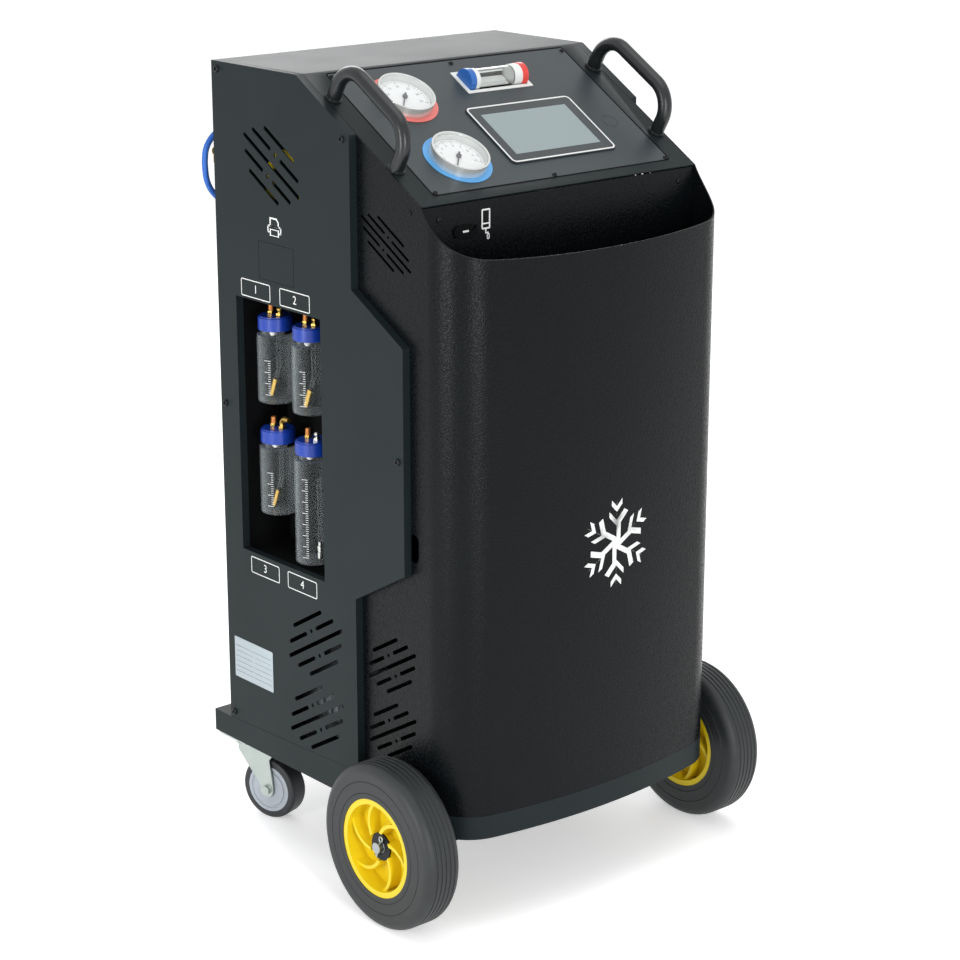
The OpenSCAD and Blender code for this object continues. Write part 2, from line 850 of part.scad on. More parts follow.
module usb_port() color("#101112") {
    translate([usb_x, panel_y, usb_z]) rotate([90, 0, 0]) {
        difference() {
            union() {
                linear_extrude(usb_face_t) slot(usb_w, usb_h);
                translate([0, 0, -usb_body_d]) linear_extrude(usb_body_d + eps)
                    square([usb_body_w, usb_body_h], center = true);
            }
            translate([0, 0, -usb_slot_d]) linear_extrude(usb_body_d)
                square([usb_slot_w, usb_slot_h], center = true);
        }
        // tongue of the socket
        translate([0, usb_tongue_t/2, -usb_slot_d - eps]) linear_extrude(usb_slot_d)
            square([usb_slot_w - 2, usb_tongue_t], center = true);
    }
}

module handle(x) color("#1f2224") {
    on_slope() translate([x, -handle_s - handle_span, 0]) {
        for (y = [0, handle_span]) translate([0, y, 0]) {
            cylinder(d = handle_d, h = handle_rise - handle_bend);
            cylinder(d = handle_d + handle_collar, h = handle_collar);
        }
        translate([0, handle_bend, handle_rise]) rotate([-90, 0, 0])
            cylinder(d = handle_d, h = handle_span - 2*handle_bend);
        for (m = [0, 1]) translate([0, m*handle_span, 0]) mirror([0, m, 0])
            translate([0, handle_bend, handle_rise - handle_bend]) rotate([90, 0, 90])
                rotate_extrude(start = 90, angle = 90) translate([handle_bend, 0]) circle(d = handle_d);
    }
}
module left_handle() { handle(-handle_x); }
module right_handle() { handle(handle_x); }

module touch_screen() color("#3b4245") {
    body_w = screen_w - 2*screen_lap - 2*clear;
    body_h = screen_h - 2*screen_lap - 2*clear;
    on_slope() translate([screen_x, -screen_s, 0]) {
        linear_extrude(screen_t) round_rect(screen_w, screen_h, screen_r);
        translate([0, 0, -screen_depth]) linear_extrude(screen_depth + eps)
            square([body_w, body_h], center = true);
    }
}

// Gauge parts stand at the gauge's centre, on the face of the control plate
module at_gauge(s) {
    on_slope() translate([-gauge_x, -s, 0]) children();
}

module gauge_case(s) color("#d9dcdd") {
    seat_h = ring_h + gauge_h - lens_h;
    at_gauge(s) {
        rotate_extrude() difference() {
            union() {
                translate([0, -gauge_depth]) square([gauge_body_r, gauge_depth + ring_h + eps]);
                translate([0, ring_h]) square([gauge_r, gauge_h]);
            }
            translate([0, dial_h]) square([dial_r, gauge_h]);
            translate([0, seat_h]) square([lens_r, gauge_h]);
        }
        translate([0, 0, dial_h - eps]) cylinder(r = pin_r, h = pointer_h - dial_h + pin_over);
    }
}
module upper_gauge_case() { gauge_case(upper_gauge_s); }
module lower_gauge_case() { gauge_case(lower_gauge_s); }

// The needle rests on its zero mark, at the lower left
module gauge_needle(s) color("#202326") {
    at_gauge(s) rotate(needle_rest) translate([0, 0, pointer_h]) difference() {
        union() {
            translate([0, 0, -boss_low]) cylinder(r = boss_r, h = boss_h);
            linear_extrude(needle_t) polygon([[-needle_tail, -needle_w/2], [needle_len - 2, -needle_w/6],
                [needle_len, 0], [needle_len - 2, needle_w/6], [-needle_tail, needle_w/2]]);
        }
        translate([0, 0, -1]) cylinder(r = pin_r + run_clear, h = pin_over + 1.1);
    }
}
module upper_gauge_needle() { gauge_needle(upper_gauge_s); }
module lower_gauge_needle() { gauge_needle(lower_gauge_s); }

module gauge_lenses() color("#dfe6e8", 0.4) {
    for (s = GAUGES) at_gauge(s) translate([0, 0, ring_h + gauge_h - lens_h])
        cylinder(r = lens_r, h = lens_h);
}

module gauge_rings() color("#3f8fe0") {
    for (s = GAUGES) at_gauge(s) difference() {
        cylinder(r = gauge_ring_r, h = ring_h);
        translate([0, 0, -1]) cylinder(r = gauge_body_r + clear, h = ring_h + 2);
    }
}

module at_sight() {
    on_slope() translate([sight_x, -sight_s, 0]) children();
}
module sight_glass_frame() color("#e8e8e6") {
    in_w = sight_w - 2*sight_lap_x - 2*clear;
    in_h = sight_h - 2*sight_lap_y - 2*clear;
    trough = sight_r - sight_axis_h + clear + sight_wall;
    at_sight() difference() {
        union() {
            linear_extrude(sight_border_t) square([sight_w, sight_h], center = true);
            translate([0, 0, -trough]) linear_extrude(trough + eps) square([in_w, in_h], center = true);
        }
        translate([0, 0, -trough + sight_wall]) linear_extrude(trough + sight_border_t)
            square([in_w - 2*sight_wall, in_h - 2*sight_wall], center = true);
    }
}
module sight_glass_tube() color("#e6eef0", 0.4) {
    start = -sight_run/2 + sight_band + SIGHT_RINGS[0];
    length = sight_run - 2*sight_band - SIGHT_RINGS[0] - SIGHT_RINGS[1];
    at_sight() translate([start, 0, sight_axis_h]) rotate([0, 90, 0]) difference() {
        cylinder(r = sight_tube_r, h = length);
        translate([0, 0, -1]) cylinder(r = sight_tube_r - sight_wall, h = length + 2);
    }
}
// Each end of the sight glass: a coloured band, then a narrower ring that holds the tube
module sight_glass_ends() color("#2b5bd0") {
    at_sight() for (k = [0, 1]) mirror([k, 0, 0])
        translate([-sight_run/2, 0, sight_axis_h]) rotate([0, 90, 0]) {
            cylinder(r = sight_r, h = sight_band);
            cylinder(r = sight_ring_r, h = sight_band + SIGHT_RINGS[k]);
        }
}

module bottle_bay() color("#17191a") {
    y0 = window_y0 - sheet - bay_slack;
    y1 = window_y1 + sheet + bay_slack;
    z0 = window_z - sheet - bay_slack;
    z1 = window_z + window_h + sheet + bay_slack;
    mouth = -half_w + sheet;
    difference() {
        translate([mouth, y0 - bay_wall, z0 - bay_wall])
            cube([bay_x + bay_wall - mouth, y1 - y0 + 2*bay_wall, z1 - z0 + 2*bay_wall]);
        translate([mouth - 1, y0, z0]) cube([bay_x - mouth + 1, y1 - y0, z1 - z0]);
    }
    // a half-ring clip behind each bottle's neck
    for (b = BOTTLES) translate([bottle_x, b[0], b[1] - clip_h - clear]) difference() {
        union() {
            cylinder(r = neck_r + clip_t, h = clip_h);
            translate([0, -clip_arm/2, 0]) cube([bay_x - bottle_x + eps, clip_arm, clip_h]);
        }
        translate([0, 0, -1]) cylinder(r = neck_r + 2*clear, h = clip_h + 2);
        translate([-2*bottle_r, -2*bottle_r, -1]) cube([2*bottle_r, 4*bottle_r, clip_h + 2]);
    }
}

// A bottle hangs from its cap: a clear body, a shoulder and a neck
module bottle(i) color("#dfe8ea", 0.35) {
    b = BOTTLES[i];
    translate([bottle_x, b[0], b[1] - neck_h - b[2]]) rotate_extrude() difference() {
        union() {
            translate([0, bottle_round]) square([bottle_r, b[2] - bottle_round]);
            square([bottle_r - bottle_round, b[2]]);
            translate([bottle_r - bottle_round, bottle_round]) circle(bottle_round);
            square([neck_r, b[2] + neck_h + cap_h - cap_top]);
        }
        translate([-bottle_r, -1]) square([bottle_r, b[2] + 2*cap_h]);
        translate([0, bottle_wall]) square([bottle_r - bottle_wall, b[2] - 2*bottle_wall]);
        translate([0, b[2] - 2*bottle_wall]) square([neck_r - bottle_wall, neck_h + 2*cap_h]);
    }
}
module bottle_1() { bottle(0); }
module bottle_2() { bottle(1); }
module bottle_3() { bottle(2); }
module bottle_4() { bottle(3); }

module bottle_cap(i) color("#1f49c4") {
    b = BOTTLES[i];
    translate([bottle_x, b[0], b[1]]) rotate_extrude() difference() {
        union() {
            square([cap_r, cap_h - cap_step]);
            square([cap_r - cap_step, cap_h]);
        }
        translate([0, -1]) square([neck_r + clear/2, cap_h - cap_top + 1 + clear]);
    }
}
module bottle_1_cap() { bottle_cap(0); }
module bottle_2_cap() { bottle_cap(1); }
module bottle_3_cap() { bottle_cap(2); }
module bottle_4_cap() { bottle_cap(3); }

// On each cap a bronze plug and a brass union; the third bottle has an elbow for its union
module bottle_fittings(i) color("#c79a4a") {
    b = BOTTLES[i];
    translate([bottle_x, b[0], b[1] + cap_h]) {
        translate([0, fitting_off, 0]) {
            cylinder(r = plug_r + 1.5, h = hex_h, $fn = 6);
            cylinder(r1 = plug_r, r2 = plug_r - 0.8, h = plug_h);
        }
        translate([0, -fitting_off, 0]) {
            cylinder(r = union_r + 2, h = hex_h, $fn = 6);
            if (i == 2) elbow();
            else union_top();
        }
    }
    if (i < 3) translate([bottle_x, b[0] - dip_off, b[1] + cap_h - cap_top + clear])
        dip_tube(b[2] + neck_h + cap_h - cap_top - bottle_wall);
}
module union_top() {
    cylinder(r = union_r - 1, h = union_h);
    translate([0, 0, union_h]) sphere(r = union_r);
}
module elbow() {
    cylinder(r = union_r, h = elbow_h);
    translate([0, -elbow_r, elbow_h]) {
        rotate([90, 0, 90]) rotate_extrude(angle = 90) translate([elbow_r, 0]) circle(union_r);
        translate([0, 0, elbow_r]) rotate([90, 0, 0]) cylinder(r = union_r, h = elbow_run);
    }
}
// The dip tube: straight down from a stub, then slanting to a sinker near the bottom
module dip_tube(depth) {
    bend = depth - sink_gap - (slant_len + sink_len)*cos(slant_deg);
    translate([0, 0, -stub_h]) cylinder(r = dip_r + 1, h = stub_h);
    translate([0, 0, -bend]) {
        cylinder(r = dip_r, h = bend);
        sphere(r = dip_r + 0.4);
        rotate([180 + slant_deg, 0, 0]) {
            cylinder(r = dip_r, h = slant_len + eps);
            translate([0, 0, slant_len]) cylinder(r = sink_r, h = sink_len);
        }
    }
}
module bottle_1_fittings() { bottle_fittings(0); }
module bottle_2_fittings() { bottle_fittings(1); }
module bottle_3_fittings() { bottle_fittings(2); }
module bottle_4_fittings() { bottle_fittings(3); }

// Wheel parts lie along Z, from the inner face to the outer one, on the axle
module on_axle(side) {
    translate([side*wheel_x, axle_y, wheel_r]) rotate([0, side*90, 0]) children();
}

module front_axle() color("#8b9095") {
    end = wheel_x + hub_out + washer_gap + washer_t;
    translate([-end, axle_y, wheel_r]) rotate([0, 90, 0]) cylinder(r = axle_r, h = 2*end);
    // a washer pressed on outside each hub, and the turned-down end beyond it
    for (side = [-1, 1]) on_axle(side) {
        translate([0, 0, hub_out + washer_gap]) cylinder(r = washer_r, h = washer_t);
        translate([0, 0, hub_out]) cylinder(r = stub_r, h = wheel_w - hub_out - stub_in);
    }
}

module tyre(side) color("#26282a") {
    crown = wheel_w - 2*shoulder_r;
    on_axle(side) rotate_extrude($fn = 144) difference() {
        union() {
            translate([rim_flange_r, 0]) square([wheel_r - shoulder_r - rim_flange_r, wheel_w]);
            translate([rim_flange_r, shoulder_r]) square([wheel_r - rim_flange_r, crown]);
            for (z = [shoulder_r, wheel_w - shoulder_r]) translate([wheel_r - shoulder_r, z])
                circle(shoulder_r);
        }
        for (i = TREAD) translate([wheel_r, wheel_w/2 + i*crown/4]) circle(d = tread_groove, $fn = 16);
        // two fine rings on both sidewalls
        for (z = [0, wheel_w], r = SIDEWALL) translate([rim_flange_r + r, z])
            circle(d = sidewall_groove, $fn = 16);
    }
}
module left_tyre() { tyre(-1); }
module right_tyre() { tyre(1); }

// A moulded rim: outer ring, web, hub and swirling ribs on both faces
module swirl_rib() {
    intersection() {
        difference() {
            circle(rim_flange_r - rim_wall + 0.5);
            circle(hub_r - 0.5);
        }
        translate(rib_centre) difference() {
            circle(rib_arc_r + rib_t/2);
            circle(rib_arc_r - rib_t/2);
        }
        translate(rib_centre) polygon([[0, 0], for (a = [-85, -50, -10, 30]) 2*rib_arc_r*[cos(a), sin(a)]]);
    }
}
module rim(side) color("#f0cf1c") {
    well_r = rim_flange_r - rim_wall;
    on_axle(side) difference() {
        union() {
            difference() {
                translate([0, 0, 1]) cylinder(r = rim_flange_r, h = wheel_w - 2, $fn = 144);
                cylinder(r = well_r, h = wheel_w, $fn = 144);
            }
            translate([0, 0, (wheel_w - web_t)/2]) cylinder(r = well_r + 0.5, h = web_t, $fn = 144);
            translate([0, 0, hub_in]) cylinder(r = hub_r, h = hub_out - hub_in);
            for (i = [0:rib_count - 1]) rotate(side*i*360/rib_count) mirror([0, side < 0 ? 1 : 0, 0])
                translate([0, 0, rib_low]) linear_extrude(wheel_w - 2*rib_low) swirl_rib();
        }
        translate([0, 0, -1]) cylinder(r = axle_r + run_clear, h = wheel_w + 2);
        translate([0, 0, hub_out]) cylinder(r = washer_r + washer_slack, h = wheel_w);
    }
}
module left_rim() { rim(-1); }
module right_rim() { rim(1); }

// Caster parts stand at the swivel: X across the wheel, -Y towards the trailing axle
module at_caster(side) {
    translate([side*caster_x, caster_y, 0]) rotate(caster_turn) children();
}

module caster_plates() color("#c9cdd0") {
    for (side = [-1, 1]) translate([side*caster_x, caster_y, 0]) {
        translate([-caster_plate_w/2, -caster_plate_l/2, base_z - caster_plate_t])
            cube([caster_plate_w, caster_plate_l, caster_plate_t]);
        translate([0, 0, fork_z + clear])
            cylinder(r = caster_head_r - 4, h = caster_head_h - clear + eps);
        translate([0, 0, fork_z - fork_t - 2]) cylinder(r = kingpin_r, h = fork_t + 2 + clear + eps);
        translate([0, 0, fork_z - fork_t - kingpin_nut_h])
            cylinder(r = kingpin_nut_r, h = kingpin_nut_h - clear);
    }
}

module caster_fork(side) color("#d3d7d9") {
    leg_x = caster_w/2 + fork_gap;
    over = 2*(leg_x + fork_t);
    back = -caster_trail - fork_lug_r;
    front = -caster_trail + fork_lug_r;
    at_caster(side) {
        difference() {
            union() {
                translate([0, 0, fork_z - fork_t]) cylinder(r = caster_head_r + 4, h = fork_t);
                translate([-over/2, back + fork_lug_r/2, fork_z - fork_t])
                    cube([over, -back - fork_lug_r/2, fork_t]);
            }
            translate([0, 0, fork_z - fork_t - 1]) cylinder(r = kingpin_r + run_clear, h = fork_t + 2);
        }
        // legs: wide under the head, waisted, and narrow around the axle
        for (x = [-leg_x - fork_t, leg_x]) side_cut(x, fork_t) union() {
            polygon([[18, fork_z], [20, fork_z - 14], [front, caster_r + 6], [front - 1, caster_r - 3],
                [back + 1, caster_r - 3], [back, caster_r + 6], [back + 6, fork_z - 22],
                [back - 6, fork_z - 6], [back + 6, fork_z]]);
            translate([-caster_trail, caster_r]) circle(fork_lug_r);
        }
        translate([-over/2 - bolt_head_h, -caster_trail, caster_r]) rotate([0, 90, 0]) {
            cylinder(r = caster_bolt_r, h = over + 2*bolt_head_h);
            for (z = [0, over + bolt_head_h - eps]) translate([0, 0, z])
                cylinder(r = bolt_head_r, h = bolt_head_h + eps, $fn = 6);
        }
    }
}
module left_caster_fork() { caster_fork(-1); }
module right_caster_fork() { caster_fork(1); }

module caster_core(side) color("#b9bec2") {
    at_caster(side) translate([-caster_w/2, -caster_trail, caster_r]) rotate([0, 90, 0]) rotate_extrude() {
        difference() {
            square([caster_core_r, caster_w]);
            translate([-1, -1]) square([caster_bolt_r + run_clear + 1, caster_w + 2]);
            for (z = [0, caster_w]) translate([caster_core_r - 7, z]) circle(d = core_groove, $fn = 16);
        }
    }
}
module left_caster_core() { caster_core(-1); }
module right_caster_core() { caster_core(1); }

module caster_tyre(side) color("#2a2c2e") {
    at_caster(side) translate([-caster_w/2, -caster_trail, caster_r]) rotate([0, 90, 0]) rotate_extrude() {
        translate([caster_core_r, 0]) square([caster_r - caster_core_r - caster_bead, caster_w]);
        translate([caster_core_r, caster_bead])
            square([caster_r - caster_core_r, caster_w - 2*caster_bead]);
        for (z = [caster_bead, caster_w - caster_bead])
            translate([caster_r - caster_bead, z]) circle(caster_bead);
    }
}
module left_caster_tyre() { caster_tyre(-1); }
module right_caster_tyre() { caster_tyre(1); }

// Pieces inside the cabinet, all standing on the tray
module tank_scale() color("#9ea3a6") {
    translate([tank_x, tank_y, floor_z]) {
        slab(scale_w, scale_w, scale_t);
        translate([0, 0, scale_t - eps]) slab(scale_bar_w, scale_bar_l, scale_h - 2*scale_t + 2*eps);
        translate([0, 0, scale_h - scale_t]) slab(scale_top_w, scale_top_w, scale_t);
    }
}

// A plate centred on the spot it stands on
module slab(w, d, h) {
    translate([-w/2, -d/2, 0]) cube([w, d, h]);
}

module storage_tank() color("#6f8f9a") {
    belt_z = tank_foot + tank_dome;
    belt_h = tank_h - 2*tank_dome;
    translate([tank_x, tank_y, floor_z + scale_h]) {
        difference() {
            rotate_extrude($fn = 96) {
                translate([tank_r - tank_foot_in, 0]) square([tank_wall, belt_z - tank_dome/2 + 6]);
                translate([0, belt_z]) square([tank_r, belt_h]);
                for (z = [belt_z, belt_z + belt_h]) translate([0, z]) scale_arc(tank_r, tank_dome);
            }
            translate([0, 0, belt_z]) cylinder(r = tank_r - tank_wall, h = belt_h, $fn = 96);
        }
        translate([0, 0, tank_foot + tank_h - 4]) cylinder(r = tank_valve_r, h = tank_valve_h);
        for (x = [-tank_port_x, tank_port_x])
            translate([x, 0, tank_foot + tank_h + tank_valve_h - 4 - eps])
                cylinder(r = tank_port_r, h = tank_port_h);
    }
}

// A shallow lens-shaped cap: the part of a large circle that spans the tank
module scale_arc(r, h) {
    big = (r*r + h*h)/(2*h);
    intersection() {
        translate([0, h - big]) circle(big, $fn = 360);
        translate([0, big - h]) circle(big, $fn = 360);
        translate([0, -h]) square([r, 2*h]);
    }
}

module compressor() color("#1c1e20") {
    translate([comp_x, comp_y, floor_z]) {
        slab(comp_plate, comp_plate, comp_plate_t);
        for (x = [-comp_foot_x, comp_foot_x], y = [-comp_foot_x, comp_foot_x])
            translate([x, y, comp_plate_t - eps]) cylinder(r = comp_foot_r, h = comp_foot_h);
        translate([0, 0, comp_plate_t + comp_foot_h - eps]) cylinder(r = comp_flange_r, h = comp_flange_h);
        translate([0, 0, comp_plate_t + comp_foot_h + comp_flange_h - 2*eps]) {
            rotate_extrude($fn = 96) {
                square([comp_r, comp_h]);
                translate([0, comp_h]) intersection() {
                    circle(comp_r);
                    square(comp_r + 1);
                }
                translate([0, comp_seam_z]) square([comp_r + comp_seam, comp_flange_h]);
            }
            translate([0, 0, comp_h + comp_r - 4]) cylinder(r = comp_port_r, h = comp_port_h);
        }
    }
}

module vacuum_pump() color("#c4c8ca") {
    translate([pump_x, pump_y, floor_z]) {
        for (y = [-pump_rail_l/3, pump_rail_l/3]) translate([0, y, 0])
            slab(pump_foot_w, pump_foot_d, pump_foot_h);
        translate([0, 0, pump_foot_h - eps]) slab(pump_rail_w, pump_rail_l, pump_rail_h);
        translate([0, -pump_len/2, pump_z]) rotate([-90, 0, 0]) {
            cylinder(r = pump_r, h = motor_len);
            translate([0, 0, motor_len - eps]) cylinder(r = pump_r - pump_step, h = pump_len - motor_len);
            for (i = [0:fin_count - 1]) translate([0, 0, fin_pitch*(i + 0.5)])
                cylinder(r = pump_r + fin_h, h = fin_t);
        }
        translate([0, 0, pump_z + pump_r - fin_h]) slab(pump_box_w, pump_box_l, pump_box_h);
    }
}

module condenser() color("#a9aeb2") {
    translate([grille_x - cond_w/2, rear_y - sheet - cond_d - cond_tab, cond_z]) {
        for (x = [0, cond_w - cond_t]) translate([x, 0, 0]) cube([cond_t, cond_d + cond_tab, cond_h]);
        translate([cond_t - eps, cond_t, 2*cond_t])
            cube([cond_w - 2*cond_t + 2*eps, cond_d - 2*cond_t, cond_h - 4*cond_t]);
        for (i = [0:cond_rows - 1]) translate([0, cond_t/2, cond_h*(i + 0.5)/cond_rows - cond_row_t/2])
            cube([cond_w, cond_d - cond_t, cond_row_t]);
    }
}

// Valve block on top of the bottle bay, with a looped transfer line
module valve_manifold() color("#c9a04e") {
    z0 = window_z + window_h + sheet + bay_slack + bay_wall;
    z1 = z0 + manifold_h;
    arc_z = upper_vent_z - line_drop;
    translate([bottle_x, manifold_y, 0]) {
        translate([0, 0, z0]) slab(manifold_w, manifold_l, manifold_h);
        for (i = [-1, 0, 1]) translate([manifold_w/2 - eps, i*valve_pitch, (z0 + z1)/2])
            rotate([0, 90, 0]) cylinder(r = valve_r, h = valve_len);
        for (s = [-1, 1]) translate([0, s*line_r, z1 - eps]) cylinder(r = line_t, h = arc_z - z1 + eps);
        translate([0, 0, arc_z]) rotate([90, 0, 90]) rotate_extrude(angle = 180)
            translate([line_r, 0]) circle(line_t);
    }
}

module power_inlet() color("#141516") {
    at_inlet() {
        difference() {
            union() {
                linear_extrude(inlet_face_t)
                    round_rect(inlet_w + 2*inlet_flange, inlet_h + 2*inlet_flange, inlet_flange);
                translate([0, 0, -inlet_depth]) linear_extrude(inlet_depth + eps)
                    square([inlet_w - 2*clear, inlet_h - 2*clear], center = true);
            }
            translate([0, socket_z, -socket_d]) linear_extrude(inlet_depth)
                square([socket_w, socket_h], center = true);
            translate([0, rocker_z, -rocker_d]) linear_extrude(inlet_depth)
                square([rocker_w + 2, rocker_h + 2], center = true);
            translate([0, rocker_z, -rocker_axis]) rotate([0, 90, 0])
                cylinder(r = rocker_pin_r + run_clear, h = rocker_w + 2*rocker_bearing, center = true);
        }
        // three blades, rooted in the back of the socket
        for (i = [-1, 0, 1]) translate([i*blade_pitch - 1, socket_z - (i == 0 ? 0 : 5), -socket_d - eps])
            cube([2, 4, blade_len]);
    }
}

// Places its children on the inlet's face, upright and facing the back
module at_inlet() {
    translate([inlet_x, rear_y, inlet_z]) rotate([90, 0, 180]) children();
}

module main_switch() color("#c0261f") {
    at_inlet() translate([0, rocker_z, -rocker_axis]) rotate([0, 90, 0]) {
        cylinder(r = rocker_pin_r, h = rocker_w + 6, center = true);
        linear_extrude(rocker_w, center = true)
            polygon([[5, -7], [5, 7], [-4, rocker_h/2 - 1.5], [-6, rocker_h/2 - 2], [-4.2, 0],
                [-8, -rocker_h/2 + 2], [-4, -rocker_h/2 + 1.5]]);
    }
}

// Brass outlets on the rear panel: a stem, a body block and a spigot for the hose
module hose_outlets() color("#c9a04e") {
    for (k = [0, 1]) translate(k == 0 ? blue_outlet : red_outlet) {
        translate([0, -sheet - outlet_nut_h, 0]) rotate([-90, 0, 0])
            cylinder(r = outlet_stem_r, h = outlet_out + sheet + outlet_nut_h);
        rotate([-90, 0, 0]) cylinder(r = outlet_nut_r, h = outlet_nut_h, $fn = 6);
        translate([0, outlet_out, 0]) {
            sphere(r = outlet_stem_r);
            rotate([0, k == 0 ? -90 : 180, 0]) cylinder(r = spigot_r, h = SPIGOTS[k]);
        }
    }
}

// A tube swept along a route: one ring of points at each stop, square to the way on
function way(p, i) = unit(p[min(i + 1, len(p) - 1)] - p[max(i - 1, 0)]);
function ring(p, i, r) = let(t = way(p, i), a = unit(cross(t, [0, 1, 0.01])), b = cross(t, a))
    [for (k = [0:sides - 1]) p[i] + r*(cos(k*360/sides)*a + sin(k*360/sides)*b)];
module sweep(p, r) {
    n = len(p);
    points = [for (i = [0:n - 1]) each ring(p, i, r)];
    walls = [for (i = [0:n - 2], k = [0:sides - 1]) let(a = i*sides, b = a + sides, j = (k + 1) % sides)
        [a + k, a + j, b + j, b + k]];
    first = [for (k = [sides - 1:-1:0]) k];
    last = [for (k = [0:sides - 1]) (n - 1)*sides + k];
    polyhedron(points, concat([first], walls, [last]));
}

// A hung coil: a ring as thick as its turns, and the free end that hangs down from its last turn
module hose_coil(c, side) {
    translate([c[0], c[1] + coil_turn_layers*hose_d/2, c[2]]) rotate([90, 0, 0]) rotate_extrude()
        translate([coil_inner_r, 0]) square([coil_turn_rows*hose_d, coil_turn_layers*hose_d]);
    translate(tail_end(c, side)) cylinder(d = hose_d, h = tail_len - 2*hose_d);
}
function tail_end(c, side) = c + [side*coil_last_r, clear - hose_d/2, -tail_len];
module hose_coupler(p) {
    translate(p) mirror([0, 0, 1]) {
        cylinder(r = coupler_hex_r, h = coupler_hex_h, $fn = 6);
        translate([0, 0, coupler_hex_h - eps]) cylinder(r = coupler_r, h = coupler_h);
        translate([0, 0, coupler_hex_h + coupler_h - 2*eps]) cylinder(r = coupler_r - 2, h = coupler_nose);
        translate([0, 0, coupler_hex_h/2]) rotate([90, 0, 0])
            cylinder(r = coupler_bar_r, h = 2*coupler_r, center = true);
    }
}
module hose_couplers() color("#c9a04e") {
    hose_coupler(tail_end(blue_coil, 1));
    hose_coupler(tail_end(red_coil, -1));
}
module blue_hose() color("#1f62c8") { sweep(BLUE_ROUTE, hose_d/2); }
module red_hose() color("#c8241f") { sweep(RED_ROUTE, hose_d/2); }
module blue_hose_coil() color("#1f62c8") { hose_coil(blue_coil, 1); }
module red_hose_coil() color("#c8241f") { hose_coil(red_coil, -1); }

base_tray();
rear_panel();
left_side_panel();
right_side_panel();
top_cover();
control_plate();
front_cover();
pocket_panel();
left_handle();
right_handle();
touch_screen();
upper_gauge_case();
lower_gauge_case();
upper_gauge_needle();
lower_gauge_needle();
gauge_lenses();
gauge_rings();
sight_glass_frame();
sight_glass_tube();
sight_glass_ends();
usb_port();
bottle_bay();
bottle_1();
bottle_2();
bottle_3();
bottle_4();
bottle_1_cap();
bottle_2_cap();
bottle_3_cap();
bottle_4_cap();
bottle_1_fittings();
bottle_2_fittings();
bottle_3_fittings();
bottle_4_fittings();
front_axle();
left_tyre();
right_tyre();
left_rim();
right_rim();
caster_plates();
left_caster_fork();
right_caster_fork();
left_caster_core();
right_caster_core();
left_caster_tyre();
right_caster_tyre();
storage_tank();
tank_scale();
compressor();
vacuum_pump();
condenser();
valve_manifold();
power_inlet();
main_switch();
hose_outlets();
blue_hose();
blue_hose_coil();
red_hose();
red_hose_coil();
hose_couplers();
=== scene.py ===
# %% [markdown]
# # Dressing a refrigerant recovery machine
# The solids of the machine come from its CAD source and are loaded here as a fixed frame.
# This lesson gives them their finish: softened sheet-metal edges, paint, rubber, glass and print.
# Small pieces that the source leaves out, such as screws and dial marks, are modelled here by hand.

# %% Load the frame
import json
from math import cos, hypot, radians, sin

import bmesh
import bpy
from mathutils import Matrix, Vector


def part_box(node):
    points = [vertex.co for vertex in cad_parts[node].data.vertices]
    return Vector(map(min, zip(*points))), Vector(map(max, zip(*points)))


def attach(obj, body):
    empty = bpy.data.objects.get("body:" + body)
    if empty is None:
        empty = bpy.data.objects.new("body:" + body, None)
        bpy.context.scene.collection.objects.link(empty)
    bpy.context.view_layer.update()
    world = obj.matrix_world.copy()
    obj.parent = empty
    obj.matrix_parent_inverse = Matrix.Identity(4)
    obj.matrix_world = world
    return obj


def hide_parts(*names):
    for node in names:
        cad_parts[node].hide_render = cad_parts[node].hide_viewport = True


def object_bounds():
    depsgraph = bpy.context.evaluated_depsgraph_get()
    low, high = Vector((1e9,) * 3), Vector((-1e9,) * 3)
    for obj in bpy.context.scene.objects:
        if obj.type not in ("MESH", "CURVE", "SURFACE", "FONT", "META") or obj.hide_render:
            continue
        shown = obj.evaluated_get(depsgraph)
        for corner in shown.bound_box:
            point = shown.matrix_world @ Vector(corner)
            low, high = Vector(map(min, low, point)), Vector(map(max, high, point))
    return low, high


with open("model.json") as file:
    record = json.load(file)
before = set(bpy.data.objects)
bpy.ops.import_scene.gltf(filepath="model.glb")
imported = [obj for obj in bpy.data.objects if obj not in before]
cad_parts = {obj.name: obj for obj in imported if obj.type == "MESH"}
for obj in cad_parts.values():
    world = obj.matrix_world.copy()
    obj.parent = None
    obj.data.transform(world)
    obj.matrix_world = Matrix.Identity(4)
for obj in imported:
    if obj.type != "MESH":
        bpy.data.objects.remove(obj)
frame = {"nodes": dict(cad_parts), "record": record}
cad_low, cad_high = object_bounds()
mm = 0.001
body_of_node = {n: body for body, nodes in frame["record"]["behaviour"]["bodies"].items() for n in nodes}
print("loaded", len(frame["nodes"]), "nodes; the CAD box is", cad_low[:], cad_high[:])

# %% [markdown]
# ## The camera
# A product photograph is taken from a few metres away with a long lens, so that upright edges stay upright.
# The place, the turn and the lens below were solved from the machine's own corners in the picture.

# %% Camera
camera_place = (-2.2560, -2.6580, 1.6088)
camera_turn = (radians(72.994), 0, radians(-40.532))
bpy.ops.object.camera_add(location=camera_place, rotation=camera_turn)
camera = bpy.context.object
camera.data.lens = 94.46
camera.data.sensor_width = 36
bpy.context.scene.camera = camera
print("camera looks from", camera.location[:])

# %% [markdown]
# ## Working by hand, in code
# In the window one clicks a piece, opens edit mode and picks faces. Here the same is done by small helpers:
# one leaves a single piece selected, one picks faces by their place, one sets a finished piece down.
# A piece is modelled at the origin, and its place then goes into its mesh, as in the CAD nodes.

# %% Helpers for picking and placing
def alone(piece):
    """Leaves only this piece selected, and makes it the active one."""
    bpy.ops.object.select_all(action="DESELECT")
    piece.select_set(True)
    bpy.context.view_layer.objects.active = piece


